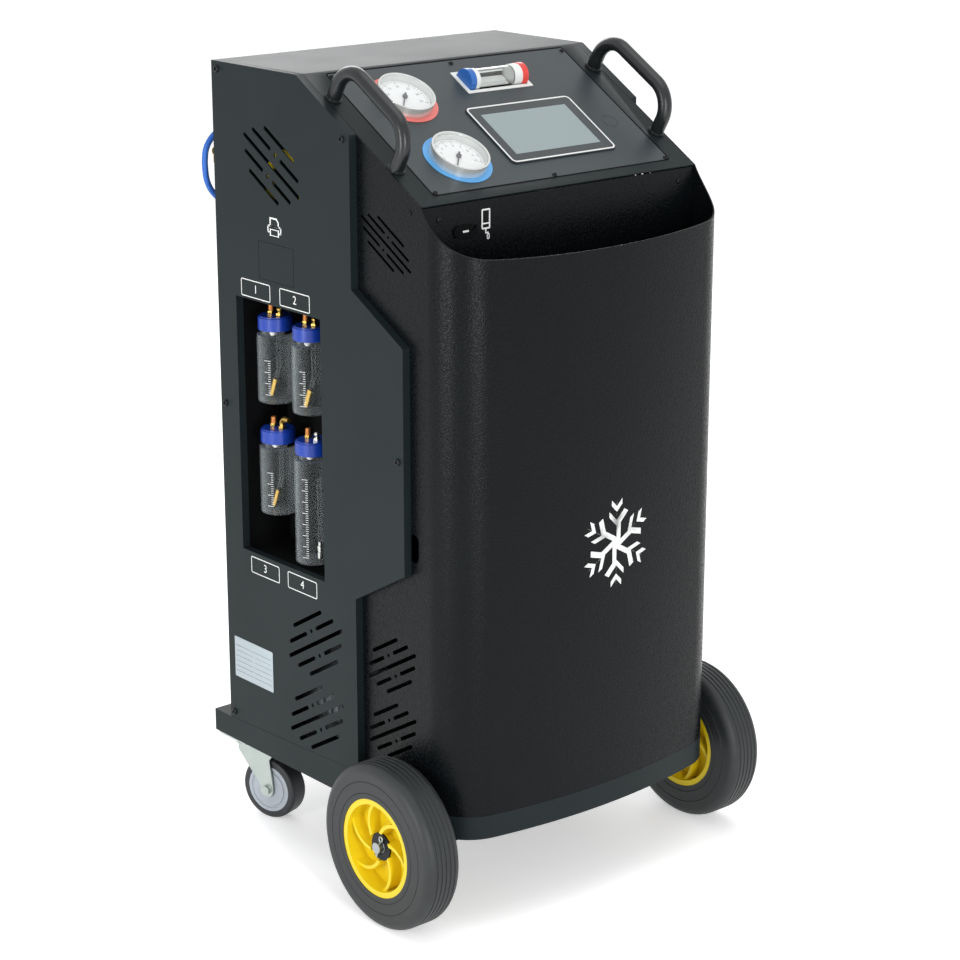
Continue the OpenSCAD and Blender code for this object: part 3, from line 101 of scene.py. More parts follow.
def open_up(piece, mode="FACE"):
    """Goes into edit mode on one piece, with everything selected."""
    alone(piece)
    bpy.ops.object.mode_set(mode="EDIT")
    bpy.ops.mesh.select_mode(type=mode)
    bpy.ops.mesh.select_all(action="SELECT")


def close_up():
    bpy.ops.object.mode_set(mode="OBJECT")


def pick(piece, choose):
    """In edit mode, selects only what a function chooses from the mesh."""
    bpy.ops.mesh.select_all(action="DESELECT")
    mesh = bmesh.from_edit_mesh(piece.data)
    for part in choose(mesh):
        part.select_set(True)
    bmesh.update_edit_mesh(piece.data)


def pick_faces(piece, wanted):
    """In edit mode, selects the faces whose centre and normal pass a test."""
    pick(piece, lambda mesh: [f for f in mesh.faces if wanted(f.calc_center_median(), f.normal)])


def apply_modifier(piece, kind, **settings):
    alone(piece)
    modifier = piece.modifiers.new(kind, kind)
    for name, value in settings.items():
        setattr(modifier, name, value)
    bpy.ops.object.modifier_apply(modifier=modifier.name)


def set_down(piece, place):
    """Puts a piece where it belongs, and moves that place into its mesh."""
    alone(piece)
    piece.matrix_world = place
    bpy.ops.object.transform_apply(location=True, rotation=True, scale=True)
    return piece


def begin(name, add, **settings):
    """Starts a piece from a primitive, and moves its place and turn into its mesh."""
    bpy.ops.object.select_all(action="DESELECT")
    add(**settings)
    piece = bpy.context.object
    piece.name = name
    bpy.ops.object.transform_apply(location=True, rotation=True, scale=True)
    return piece


def thicken(piece, thickness):
    """Gives a sheet this many mm of thickness on its outer side."""
    apply_modifier(piece, "SOLIDIFY", thickness=thickness * mm, offset=1.0)
    return piece


def copy_to(piece, name, place):
    alone(piece)
    bpy.ops.object.duplicate()
    copy = bpy.context.object
    copy.name = name
    return set_down(copy, place)


def join_pieces(pieces, name):
    alone(pieces[0])
    for piece in pieces[1:]:
        piece.select_set(True)
    bpy.ops.object.join()
    joined = bpy.context.object
    joined.name = name
    return joined


def finish_piece(piece, material, body="cabinet", smooth_deg=35):
    """Gives a piece its material, its body and its shading."""
    piece.data.materials.clear()
    piece.data.materials.append(material)
    alone(piece)
    bpy.ops.object.shade_smooth_by_angle(angle=radians(smooth_deg))
    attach(piece, body)
    return piece


print("helpers are ready")

# %% [markdown]
# ## Places on the machine
# Most small pieces sit on one of five flat faces. Each face gets its own local axes:
# X to the right and Y up for someone who stands in front of it, and Z straight out of it.

# %% Faces that carry the small pieces
slope_deg = 30.4
slope_top = Vector((0, 54 * mm, 1145 * mm))
# Centres of the two gauges on the slope, in mm
gauge_x = -129
gauge_s = {"upper": 77, "lower": 207}
left_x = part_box("left_side_panel")[0].x
right_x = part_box("right_side_panel")[1].x
rear_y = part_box("left_side_panel")[1].y
pocket_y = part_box("pocket_panel")[1].y - 2 * mm


def centre_of(node):
    low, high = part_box(node)
    return (low + high) / 2


def on_slope(x, s, height=0.0):
    """On the control panel, x and s in mm from its centre line and its top edge."""
    turn = Matrix.Rotation(radians(slope_deg), 4, "X")
    return Matrix.Translation(slope_top) @ turn @ Matrix.Translation((x * mm, -s * mm, height * mm))


def face_place(origin, right, out):
    right, out = Vector(right), Vector(out)
    axes = Matrix((right, out.cross(right), out)).transposed().to_4x4()
    return Matrix.Translation(origin) @ axes


def on_left(y, z, x=left_x):
    return face_place((x, y * mm, z * mm), (0, -1, 0), (-1, 0, 0))


def on_right(y, z, x=right_x):
    return face_place((x, y * mm, z * mm), (0, 1, 0), (1, 0, 0))


def on_rear(x, z, y=rear_y):
    return face_place((x * mm, y, z * mm), (-1, 0, 0), (0, 1, 0))


def on_pocket(x, z):
    return face_place((x * mm, pocket_y, z * mm), (1, 0, 0), (0, -1, 0))


print("left face at", round(left_x, 4), "rear", round(rear_y, 4), "pocket", round(pocket_y, 4))

# %% [markdown]
# ## Service hoses
# A hose is a fixed length of rubber, so its route is settled first: it leaves a brass outlet at the back,
# drops under its own weight and ends as a neat coil on a hook. A curve with a round bevel is the plain way
# to draw it. The free stretch repeats the points of the CAD route, and a loop winds the turns.

# %% Hose routes
hose_d = 9 * mm
hose_top = Vector((0, 250, 1145)) * mm
# Steps in mm from the middle of the cabinet's rear top edge
BLUE_ROUTE = [
    (-204, 26, -99), (-208, 26.2, -99), (-219, 27.5, -100.4), (-229, 29.5, -104.6), (-237.7, 31.6, -111.3),
    (-244.4, 33.6, -120), (-248.6, 35.4, -130.1), (-250, 36.6, -141), (-250, 37, -160),
    (-246.7, 36.8, -178.5), (-237.4, 36, -194.7), (-223, 34.7, -206.8), (-206, 33, -213.8),
    (-187, 31, -220.7), (-168, 28.8, -227.6), (-149, 26.2, -234.4), (-130, 23.7, -240.7), (-110, 22.5, -244)]
RED_ROUTE = [
    (-236, 26, -149), (-236, 26, -159), (-236, 26, -180), (-236, 26, -205), (-236, 26, -235),
    (-236, 26, -265), (-236, 25, -295), (-235, 25, -325), (-233, 24, -355), (-229, 24, -383),
    (-222, 23, -409), (-213, 23, -433), (-203, 22.5, -457), (-193, 22.5, -480), (-186, 22.5, -500),
    (-183, 22.5, -517)]
blue_coil = hose_top + Vector((-110, 18, -307)) * mm
red_coil = hose_top + Vector((-120, 18, -517)) * mm
outer_turn = 63 * mm
tail_length = 62 * mm
points_per_turn = 24


def settle(progress, start):
    """From 0 to 1 over the 130 degrees in which one turn passes over to the next."""
    share = max(0.0, min(1.0, (progress - start) / 130))
    return share * share * (3 - 2 * share)


def wind(centre, start_deg, way, whole_deg, first_step):
    """A hung coil: two turns inwards on the outer layer, then two outwards on the layer behind it."""
    points = []
    for i in range(1, int(whole_deg * points_per_turn / 360) + 1):
        turned = i * 360 / points_per_turn
        inwards = settle(turned, first_step) + settle(turned, first_step + 360)
        outwards = settle(turned, first_step + 720) + settle(turned, first_step + 1080)
        radius = outer_turn + hose_d * (outwards - inwards)
        layer = hose_d * (0.5 - settle(turned, first_step + 510))
        angle = radians(start_deg + way * turned)
        points.append(centre + Vector((radius * cos(angle), layer, radius * sin(angle))))
    return points


def tail(last):
    return [last + Vector((0, 0, -tail_length * share)) for share in (0.25, 0.5, 0.75, 1.0)]


blue_turns = wind(blue_coil, 90, -1, 1530, 120)
red_turns = wind(red_coil, 180, 1, 1440, 60)
BLUE_LINE = [hose_top + Vector(step) * mm for step in BLUE_ROUTE] + blue_turns + tail(blue_turns[-1])
RED_LINE = [hose_top + Vector(step) * mm for step in RED_ROUTE] + red_turns + tail(red_turns[-1])


def length_of(line):
    return sum((b - a).length for a, b in zip(line, line[1:]))


print("hoses measure", round(length_of(BLUE_LINE), 3), "and", round(length_of(RED_LINE), 3), "m")

# %% Hose curves
def draw_hose(name, line):
    """A round hose along a line of points, as one smooth open curve."""
    curve = bpy.data.curves.new(name, "CURVE")
    curve.dimensions = "3D"
    curve.bevel_depth = hose_d / 2
    curve.bevel_resolution = 4
    curve.resolution_u = 4
    curve.use_fill_caps = True
    spline = curve.splines.new("BEZIER")
    spline.bezier_points.add(len(line) - 1)
    for knot, point in zip(spline.bezier_points, line):
        knot.co = point
        knot.handle_left_type = "AUTO"
        knot.handle_right_type = "AUTO"
    hose = bpy.data.objects.new(name, curve)
    bpy.context.scene.collection.objects.link(hose)
    return hose


blue_hose = draw_hose("blue_service_hose", BLUE_LINE)
red_hose = draw_hose("red_service_hose", RED_LINE)
print("drew", blue_hose.name, "and", red_hose.name)

# %% [markdown]
# ## Finishes
# Every finish starts from one Principled shader. A value that is the same all over is set on its socket,
# and only what changes over the surface is wired from nodes. Patterns read Object coordinates in metres,
# so a grain of half a millimetre is written as half a millimetre.

# %% Colour and node helpers
def linear(code):
    """An sRGB hex colour as the linear values that a shader works with."""
    parts = [int(code[i:i + 2], 16) / 255 for i in (1, 3, 5)]
    return (*[c / 12.92 if c <= 0.04045 else ((c + 0.055) / 1.055) ** 2.4 for c in parts], 1.0)


def add_node(tree, kind, sockets=None, **settings):
    """Adds one node; a socket value may be a number, a colour or another node's output."""
    made = tree.nodes.new(kind)
    for name, value in settings.items():
        setattr(made, name, value)
    for name, value in (sockets or {}).items():
        if isinstance(value, bpy.types.NodeSocket):
            tree.links.new(value, made.inputs[name])
        else:
            made.inputs[name].default_value = value
    return made


def start_finish(name, sockets):
    """A material with its Principled shader, and the Object coordinates that its patterns read."""
    material = bpy.data.materials.new(name)
    material.use_nodes = True
    tree = material.node_tree
    shader = tree.nodes["Principled BSDF"]
    for socket, value in sockets.items():
        shader.inputs[socket].default_value = value
    place = add_node(tree, "ShaderNodeTexCoord").outputs["Object"]
    return material, tree, shader, place


def wire_tone(tree, shader, pattern, light, dark):
    """Mixes two close colours by a pattern, as the base colour."""
    tone = add_node(tree, "ShaderNodeMixRGB",
                    {"Fac": pattern, "Color1": linear(light), "Color2": linear(dark)})
    tree.links.new(tone.outputs["Color"], shader.inputs["Base Color"])


def wire_gloss(tree, shader, pattern, low, high):
    """Lets the roughness wander between two values."""
    gloss = add_node(tree, "ShaderNodeMapRange", {"Value": pattern, "To Min": low, "To Max": high})
    tree.links.new(gloss.outputs["Result"], shader.inputs["Roughness"])


def wire_bump(tree, shader, pattern, height, strength):
    """Raises the surface by a pattern, height in metres."""
    bump = add_node(tree, "ShaderNodeBump", {"Height": pattern, "Distance": height, "Strength": strength})
    tree.links.new(bump.outputs["Normal"], shader.inputs["Normal"])


def noise(tree, place, size, detail=2.0, rough=0.5):
    """A noise pattern whose spots are about this many metres across."""
    made = add_node(tree, "ShaderNodeTexNoise",
                    {"Vector": place, "Scale": 1 / size, "Detail": detail, "Roughness": rough})
    return made.outputs["Fac"]


def surface(name, sockets, tones, gloss, spread, slow, fine=None, height=0.0, strength=0.0):
    """The common recipe: a slow noise shifts tone and gloss, a fine one raises the skin a little."""
    material, tree, shader, place = start_finish(name, sockets)
    drift = noise(tree, place, *slow)
    wire_tone(tree, shader, drift, *tones)
    wire_gloss(tree, shader, drift, gloss - spread, gloss + spread)
    if fine:
        wire_bump(tree, shader, noise(tree, place, *fine), height, strength)
    return material


print("shader helpers are ready")

# %% [markdown]
# ## Powder coat
# Steel sheet is sprayed with dry powder and baked, which leaves a fine pebbled skin called orange peel.
# The cabinet has a fine coat, the control plate and the handles a smoother one, and the bottle bay a dead
# matt one. The coat of the front cover is coarse, and its pebbles break its reflections into a sparkle.

# %% Powder coats
def powder_coat(name, light, dark, pebble, height, gloss, level, sparkle=0.04):
    """Pebbles, in mm, come from fine noise; slow noise shifts the tone as a sprayed coat does."""
    material, tree, shader, place = start_finish(name, {"Specular IOR Level": level})
    pebbles = noise(tree, place, pebble * mm, 3.0, 0.6)
    drift = noise(tree, place, 120 * mm)
    wire_tone(tree, shader, drift, light, dark)
    wire_bump(tree, shader, pebbles, height * mm, 0.8)
    # A coarse coat is shiny on top of its pebbles and dull between them, so it sparkles under a lamp
    wire_gloss(tree, shader, pebbles if sparkle > 0.1 else drift, gloss - sparkle, gloss + sparkle)
    return material


cabinet_paint = powder_coat("steel_powder_coated_fine", "#1c2527", "#182022", 1.4, 0.12, 0.46, 0.15)
plate_paint = powder_coat("steel_powder_coated_satin", "#323b3f", "#2c3538", 1.0, 0.04, 0.40, 0.5)
cover_paint = powder_coat("steel_powder_coated_coarse", "#0d1113", "#0a0d0f", 3.0, 0.7, 0.26, 0.12, 0.7)
handle_paint = powder_coat("steel_tube_dip_painted_satin", "#15191b", "#111517", 0.8, 0.03, 0.30, 0.5)
bay_paint = powder_coat("steel_powder_coated_dead_matt", "#090a0c", "#060708", 1.2, 0.05, 0.75, 0.10)
print("powder coats are mixed")

# %% [markdown]
# ## Rubber and moulded plastic
# Tyres are moulded rubber: a dull, slightly dusty black with a soft sheen. The rims are injection moulded
# in yellow, with the faint flow marks that such parts keep. Caps, ends and rings are dyed right through.

# %% Rubber
def moulded_rubber(name, light, dark, gloss):
    """Fine mould grain, with paler bloom where the noise is high, as rubber gets on the shelf."""
    return surface(name, {"Specular IOR Level": 0.45}, (dark, light), gloss, 0.08,
                   (14 * mm, 5.0, 0.65), (0.7 * mm, 2.0), 0.06 * mm, 0.5)


tyre_rubber = moulded_rubber("rubber_moulded_tyre", "#2e3234", "#1c1f20", 0.50)
caster_rubber = moulded_rubber("rubber_moulded_caster_tread", "#2b2f33", "#1d2024", 0.48)
hose_blue = moulded_rubber("rubber_extruded_hose_blue", "#2a6fd0", "#1f5cb8", 0.42)
hose_red = moulded_rubber("rubber_extruded_hose_red", "#d03a32", "#b92c26", 0.42)
print("rubbers are mixed")

# %% Moulded plastic
def moulded_plastic(name, light, dark, gloss, flow=60):
    """Slow flow marks change the tone a little; a faint skin keeps highlights from looking like glass."""
    return surface(name, {"Specular IOR Level": 0.5}, (light, dark), gloss, 0.05,
                   (flow * mm, 3.0), (1.5 * mm,), 0.02 * mm, 0.4)


rim_plastic = moulded_plastic("plastic_moulded_yellow", "#eed41c", "#e6c912", 0.36)
cap_plastic = moulded_plastic("plastic_moulded_blue", "#1640ac", "#12389c", 0.34, 20)
core_plastic = moulded_plastic("plastic_moulded_grey", "#b3bac2", "#a7aeb7", 0.45, 20)
black_plastic = moulded_plastic("plastic_moulded_black", "#17191a", "#121314", 0.42, 10)
white_plastic = moulded_plastic("plastic_moulded_white", "#eef0ee", "#e6e8e6", 0.38, 10)
blue_plastic = moulded_plastic("plastic_moulded_mid_blue", "#2f6fc2", "#2864b4", 0.30, 20)
red_plastic = moulded_plastic("plastic_moulded_red", "#ec4a44", "#e03f3a", 0.30, 20)
ring_blue = moulded_plastic("plastic_moulded_ring_blue", "#62aeea", "#56a2e0", 0.32, 20)
ring_red = moulded_plastic("plastic_moulded_ring_red", "#f07e78", "#e6726c", 0.32, 20)
switch_red = moulded_plastic("plastic_moulded_switch_red", "#c8281f", "#b9221a", 0.30, 8)
line_yellow = moulded_plastic("plastic_extruded_yellow", "#fbe434", "#f3d828", 0.35, 20)
strap_black = moulded_plastic("nylon_moulded_strap", "#1b1d1e", "#161718", 0.50, 6)
print("plastics are mixed")

# %% [markdown]
# ## Metals
# Bright zinc plating is pale, a little cloudy and slightly green. Turned brass and nickel are clouded too,
# on a smaller scale. Sheet for the name plate is brushed one way, which a stretched noise gives.

# %% Metals
def plated_metal(name, light, dark, gloss, cloud, metallic=1.0):
    """Cloudy plating: slow noise changes both the tone and the gloss."""
    return surface(name, {"Metallic": metallic}, (light, dark), gloss, 0.07,
                   (cloud * mm, 4.0, 0.6), (0.5 * mm,), 0.01 * mm, 0.3)


def brushed_metal(name, light, dark, gloss, along):
    """Brush marks: noise drawn out along one axis by a Mapping node."""
    material, tree, shader, place = start_finish(name, {"Metallic": 1.0})
    drawn = [1 / (0.4 * mm)] * 3
    drawn["XYZ".index(along)] = 1 / (40 * mm)
    mapped = add_node(tree, "ShaderNodeMapping", {"Vector": place, "Scale": drawn}).outputs["Vector"]
    marks = noise(tree, mapped, 1.0, 3.0)
    wire_tone(tree, shader, marks, light, dark)
    wire_gloss(tree, shader, marks, gloss - 0.08, gloss + 0.08)
    wire_bump(tree, shader, marks, 0.01 * mm, 0.4)
    return material


zinc = plated_metal("steel_zinc_plated_bright", "#b9c2be", "#a6afab", 0.34, 25, 0.85)
axle_steel = plated_metal("steel_turned_bright", "#b4babd", "#9ca3a7", 0.30, 15)
gauge_steel = plated_metal("steel_spun_satin", "#dde0dd", "#d2d5d2", 0.22, 30, 0.25)
bezel_steel = plated_metal("steel_polished_bezel", "#dcdedb", "#ced1ce", 0.16, 30, 0.5)
brass = plated_metal("brass_turned", "#d8b765", "#c39f4c", 0.28, 6)
sintered_bronze = plated_metal("bronze_sintered", "#d08f55", "#b97a42", 0.55, 1.0)
nickel = plated_metal("brass_nickel_plated", "#d9dad6", "#c9cbc8", 0.24, 8)
black_oxide = plated_metal("steel_black_oxide", "#24272a", "#17191b", 0.36, 8, 0.7)
scale_steel = brushed_metal("steel_brushed_sheet", "#a9aeb1", "#969c9f", 0.40, "X")
plate_metal = brushed_metal("aluminium_brushed_name_plate", "#b9c3c8", "#aab5bb", 0.46, "Y")
pump_alloy = plated_metal("aluminium_die_cast", "#b9bec1", "#a8aeb2", 0.50, 10)
tank_paint = powder_coat("steel_painted_tank", "#7d97a1", "#708a95", 1.5, 0.05, 0.40, 0.5)
compressor_paint = powder_coat("steel_painted_compressor", "#1c1e20", "#151718", 1.5, 0.06, 0.35, 0.5)
print("metals are mixed")

# %% [markdown]
# ## Clear pieces
# The sight glass is a thick tube that bends what is seen through it, so transmission does the work.
# Bottle walls and gauge lenses are thin and hardly bend light, so alpha makes them faint veils instead.

# %% Clear plastic and glass
# Drawn glass has a slow ripple along its wall
clear_glass, tree, shader, place = start_finish(
    "glass_drawn_tube",
    {"Transmission Weight": 1.0, "IOR": 1.45, "Roughness": 0.0, "Base Color": linear("#fbfdfc")})
wire_bump(tree, shader, noise(tree, place, 18 * mm), 0.02 * mm, 0.4)
# A bottle's wall is a veil that is denser where it is seen edge on
bottle_plastic, tree, shader, place = start_finish(
    "acrylic_blown_clear", {"Base Color": linear("#d3dee1"), "Specular IOR Level": 1.0})
wire_gloss(tree, shader, noise(tree, place, 18 * mm), 0.08, 0.12)
edge_on = add_node(tree, "ShaderNodeLayerWeight", {"Blend": 0.12}).outputs["Facing"]
veil = add_node(tree, "ShaderNodeMapRange", {"Value": edge_on, "To Min": 0.012, "To Max": 0.62})
tree.links.new(veil.outputs["Result"], shader.inputs["Alpha"])
# Through a lens most light goes straight to the dial
lens_sheet, tree, shader, place = start_finish(
    "polycarbonate_sheet_clear", {"Alpha": 0.10, "Base Color": linear("#f4f8f9"), "Specular IOR Level": 0.6})
wire_gloss(tree, shader, noise(tree, place, 25 * mm), 0.03, 0.08)
screen_glass, tree, shader, place = start_finish(
    "glass_printed_dark_grey", {"Specular IOR Level": 0.5, "IOR": 1.5})
smears = noise(tree, place, 35 * mm, 4.0)
wire_tone(tree, shader, smears, "#363d40", "#30373a")
wire_gloss(tree, shader, smears, 0.10, 0.20)
print("clear pieces are mixed")

# %% Print, dial and display
def printed(name, light, dark, gloss):
    """Screen-print ink: an even tone with the slight mottle of a mesh screen."""
    return surface(name, {"Specular IOR Level": 0.3}, (light, dark), gloss, 0.05, (2 * mm,))


white_ink = printed("ink_screen_printed_white", "#f2f4f3", "#e8ebea", 0.45)
grey_ink = printed("ink_screen_printed_grey", "#8d979d", "#7f8a90", 0.5)
dial_card = printed("card_dial_white", "#fbfcfc", "#f5f6f6", 0.55)
display_off = printed("display_unlit_grey", "#9ca9ab", "#92a0a2", 0.22)
needle_black = printed("aluminium_painted_black", "#1c1f22", "#141618", 0.4)
print("inks are mixed")

# %% [markdown]
# ## Easing the edges of the solids
# The CAD nodes have dead sharp edges and loose triangles. Folded and moulded parts catch light on a small
# round along each edge, so a copy of each node is merged, its flat faces are freed of triangles, and a Bevel
# modifier rounds what is left. Weighted normals then keep the large faces flat.

# %% Eased copies of the nodes
def ease(node, edge, pieces_name=None):
    """A copy of a CAD node with its edges rounded by this many mm, which stands for the node."""
    source = frame["nodes"][node]
    piece = bpy.data.objects.new(pieces_name or "eased_" + node, source.data.copy())
    bpy.context.scene.collection.objects.link(piece)
    open_up(piece)
    if piece.data.has_custom_normals:
        bpy.ops.mesh.customdata_custom_splitnormals_clear()
    bpy.ops.mesh.remove_doubles(threshold=0.004 * mm)
    if edge:
        bpy.ops.mesh.dissolve_limited(angle_limit=radians(0.15))
    close_up()
    if edge:
        apply_modifier(piece, "BEVEL", width=edge * mm, segments=2, limit_method="ANGLE",
                       angle_limit=radians(38), use_clamp_overlap=True, miter_outer="MITER_ARC")
    alone(piece)
    bpy.ops.object.shade_smooth_by_angle(angle=radians(40))
    apply_modifier(piece, "WEIGHTED_NORMAL", keep_sharp=True, weight=60)
    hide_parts(node)
    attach(piece, body_of_node[node])
    return piece


# Material, record slot, and the edge in mm of each node that takes them
DRESSED = [
    (cabinet_paint, "cabinet_paint", {
        "base_tray": 0.8, "rear_panel": 0.4, "left_side_panel": 0, "right_side_panel": 0, "top_cover": 0.5}),
    (plate_paint, "plate_paint", {"control_plate": 0.3}),
    (cover_paint, "cover_paint", {"front_cover": 0, "pocket_panel": 0.3}),
    (handle_paint, "handle_paint", {"left_handle": 0.6, "right_handle": 0.6}),
    (screen_glass, "screen_glass", {"touch_screen": 0.7}),
    (gauge_steel, "gauge_steel", {"upper_gauge_case": 0.6, "lower_gauge_case": 0.6}),
    (needle_black, "needle_black", {"upper_gauge_needle": 0, "lower_gauge_needle": 0}),
    (lens_sheet, "clear_glass", {"gauge_lenses": 0.4}),
    (ring_blue, "ring_colour", {"gauge_rings": 0.2}),
    (white_plastic, "frame_plastic", {"sight_glass_frame": 0.2}),
    (clear_glass, "clear_glass", {"sight_glass_tube": 0.2}),
    (blue_plastic, "ring_colour", {"sight_glass_ends": 0.6}),
    (bay_paint, "black_plastic", {"usb_port": 0.4}),
    (bay_paint, "bay_paint", {"bottle_bay": 0.4}),
    (axle_steel, "axle_steel", {"front_axle": 0.6}),
    (zinc, "zinc", {"caster_plates": 0.5, "left_caster_fork": 0.6, "right_caster_fork": 0.6}),
    (tank_paint, "tank_paint", {"storage_tank": 0.8}),
    (scale_steel, "scale_steel", {"tank_scale": 0.5, "condenser": 0.4}),
    (compressor_paint, "compressor_paint", {"compressor": 0.8}),
    (pump_alloy, "pump_alloy", {"vacuum_pump": 0.8}),
    (brass, "brass", {"valve_manifold": 0.6, "hose_outlets": 0.4}),
    (black_plastic, "black_plastic", {"power_inlet": 0.6}),
    (switch_red, "switch_red", {"main_switch": 0.5}),
    (tyre_rubber, "tyre_rubber", {"left_tyre": 0.5, "right_tyre": 0.5}),
    (rim_plastic, "rim_plastic", {"left_rim": 0.9, "right_rim": 0.9}),
    (core_plastic, "core_plastic", {"left_caster_core": 0.5, "right_caster_core": 0.5}),
    (caster_rubber, "caster_rubber", {"left_caster_tyre": 0.5, "right_caster_tyre": 0.5})]
for index in (1, 2, 3, 4):
    DRESSED += [
        (bottle_plastic, "bottle_plastic", {f"bottle_{index}": 0.5}),
        (cap_plastic, "cap_plastic", {f"bottle_{index}_cap": 0.6}),
        (brass, "brass", {f"bottle_{index}_fittings": 0.3})]

eased = {}
for material, slot, edges in DRESSED:
    for node, edge in edges.items():
        eased[node] = ease(node, edge)
        eased[node].data.materials.clear()
        eased[node].data.materials.append(material)
print("eased", len(eased), "nodes,", sum(len(p.data.polygons) for p in eased.values()), "faces")

# %% [markdown]
# ## Two colours on one piece
# Some pieces carry two colours, such as the pair of gauge rings. In edit mode one would pick the faces and
# press Assign. The helper does just that: it adds a second material and assigns it to faces by their place.

# %% Second colours
def repaint(node, material, wanted):
    piece = eased[node]
    piece.data.materials.append(material)
    for face in piece.data.polygons:
        if wanted(face.center, face.normal):
            face.material_index = len(piece.data.materials) - 1


gauge_middle_y = (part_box("upper_gauge_case")[0].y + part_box("lower_gauge_case")[1].y) / 2
sight_x = centre_of("sight_glass_frame").x
out_of_slope = Vector((0, -sin(radians(slope_deg)), cos(radians(slope_deg))))
axle_middle = centre_of("front_axle")
repaint("gauge_rings", ring_red, lambda c, n: c.y > gauge_middle_y)
repaint("sight_glass_ends", red_plastic, lambda c, n: c.x > sight_x)
sight_cap_x = 42.2 * mm
repaint("sight_glass_ends", white_plastic, lambda c, n: abs(c.x - sight_x) < sight_cap_x)
repaint("sight_glass_frame", bay_paint, lambda c, n: (c - slope_top).dot(out_of_slope) < 0.3 * mm)
# A washer's face is centred on the axle, so it is told by how far out its corners lie
axle_radius = 10.5 * mm
axle = eased["front_axle"]
axle.data.materials.append(black_oxide)
for face in axle.data.polygons:
    corners = [axle.data.vertices[i].co - axle_middle for i in face.vertices]
    if max(hypot(corner.y, corner.z) for corner in corners) > axle_radius:
        face.material_index = 1
line_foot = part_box("valve_manifold")[0].z + 46.5 * mm
repaint("valve_manifold", line_yellow, lambda c, n: c.z > line_foot)
inside_radius = 39 * mm
for which, s in gauge_s.items():
    to_gauge = on_slope(gauge_x, s).inverted()
    repaint(which + "_gauge_case", bezel_steel, lambda c, n: (
        abs(n.dot(out_of_slope)) < 0.6 and (to_gauge @ c).xy.length > inside_radius))
print("second colours are on")

# %% Brass, bronze and clear tube on the bottles
lean = radians(22)
slant = Vector((0, sin(lean), -cos(lean)))
plug_foot = 4.2 * mm
union_foot = 9 * mm
# Along the leaning part of a dip tube, from its bend
joint_from = 14 * mm
joint_to = 20.3 * mm
for index in (1, 2, 3, 4):
    node = f"bottle_{index}_fittings"
    cap_low, cap_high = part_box(f"bottle_{index}_cap")
    axis = centre_of(f"bottle_{index}_cap")
    repaint(node, sintered_bronze, lambda c, n: c.z > cap_high.z + plug_foot and c.y > axis.y)
    if index == 4:
        repaint(node, nickel, lambda c, n: c.y < axis.y)
        continue
    bend = Vector((axis.x, axis.y - 6 * mm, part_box(node)[0].z + 48 * mm * cos(lean) + 1.7 * mm))
    repaint(node, bottle_plastic, lambda c, n: (
        c.z < cap_low.z - union_foot and (c - bend).dot(slant) < joint_from))
    repaint(node, black_plastic, lambda c, n: joint_from < (c - bend).dot(slant) < joint_to)
print("fittings are coloured; a dip tube bends at", [round(v, 4) for v in bend])

# %% [markdown]
# ## Hose couplers
# Each hose ends in a quick coupler: a brass body with a coloured turning knob. The CAD node holds both,
# so two copies are made and each keeps its own half.

# %% Couplers
knob_from = 16 * mm
knob_to = 46.5 * mm


def coupler(name, knob, keep):
    piece = ease("hose_couplers", 0.6, name)
    open_up(piece)
    pick_faces(piece, lambda c, n: not keep(c))
    bpy.ops.mesh.delete(type="FACE")
    close_up()
    piece.data.materials.clear()
    piece.data.materials.append(brass)
    piece.data.materials.append(knob)
    top = max(v.co.z for v in piece.data.vertices)
    for face in piece.data.polygons:
        if knob_from < top - face.center.z < knob_to:
            face.material_index = 1
    return piece


coupler_split_z = red_coil.z
blue_coupler = coupler("blue_hose_coupler", hose_blue, lambda c: c.z > coupler_split_z)
red_coupler = coupler("red_hose_coupler", hose_red, lambda c: c.z < coupler_split_z)
print("couplers have", len(blue_coupler.data.polygons), "and", len(red_coupler.data.polygons), "faces")

# %% Hoses take their place
for hose, material, slot, nodes in (
        (blue_hose, hose_blue, "hose_blue", ("blue_hose", "blue_hose_coil")),
        (red_hose, hose_red, "hose_red", ("red_hose", "red_hose_coil"))):
    hose.data.materials.append(material)
    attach(hose, "cabinet")
    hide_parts(*nodes)
print("hoses replace their solids")

# %% [markdown]
# ## Ties round the coils
# A strap keeps the turns of a coil together. It starts as a cube of the bundle's section, loses the two
# faces that the hose runs through, and gets its thickness from a Solidify modifier.

# %% Ties
bundle_radius = 54 * mm


def tie(name, centre, angle_deg):
    strap = begin(name, bpy.ops.mesh.primitive_cube_add, size=1, scale=(29 * mm, 20 * mm, 9 * mm))
    open_up(strap)
    pick_faces(strap, lambda c, n: abs(n.z) > 0.5)
    bpy.ops.mesh.delete(type="FACE")
    bpy.ops.mesh.select_mode(type="EDGE")
    pick(strap, lambda mesh: [e for e in mesh.edges if abs((e.verts[0].co - e.verts[1].co).z) > 1 * mm])
    bpy.ops.mesh.bevel(offset=4 * mm, segments=4, affect="EDGES")
    close_up()
    thicken(strap, 1.2)
    apply_modifier(strap, "BEVEL", width=0.3 * mm, segments=2, limit_method="ANGLE")
    turn = Matrix.Rotation(-radians(angle_deg), 4, "Y")
    set_down(strap, Matrix.Translation(centre) @ turn @ Matrix.Translation((bundle_radius, 0, 0)))
    return finish_piece(strap, strap_black)


blue_tie = tie("blue_coil_tie", blue_coil, 150)
red_tie = tie("red_coil_tie", red_coil, 20)

# %% [markdown]
# ## Button-head screws
# The sheets are held by dark button-head screws with a hexagon socket. One screw is modelled: a cylinder,
# its upper edge rounded into a dome, and a hexagon cut into it by a Boolean modifier. The rest are copies.

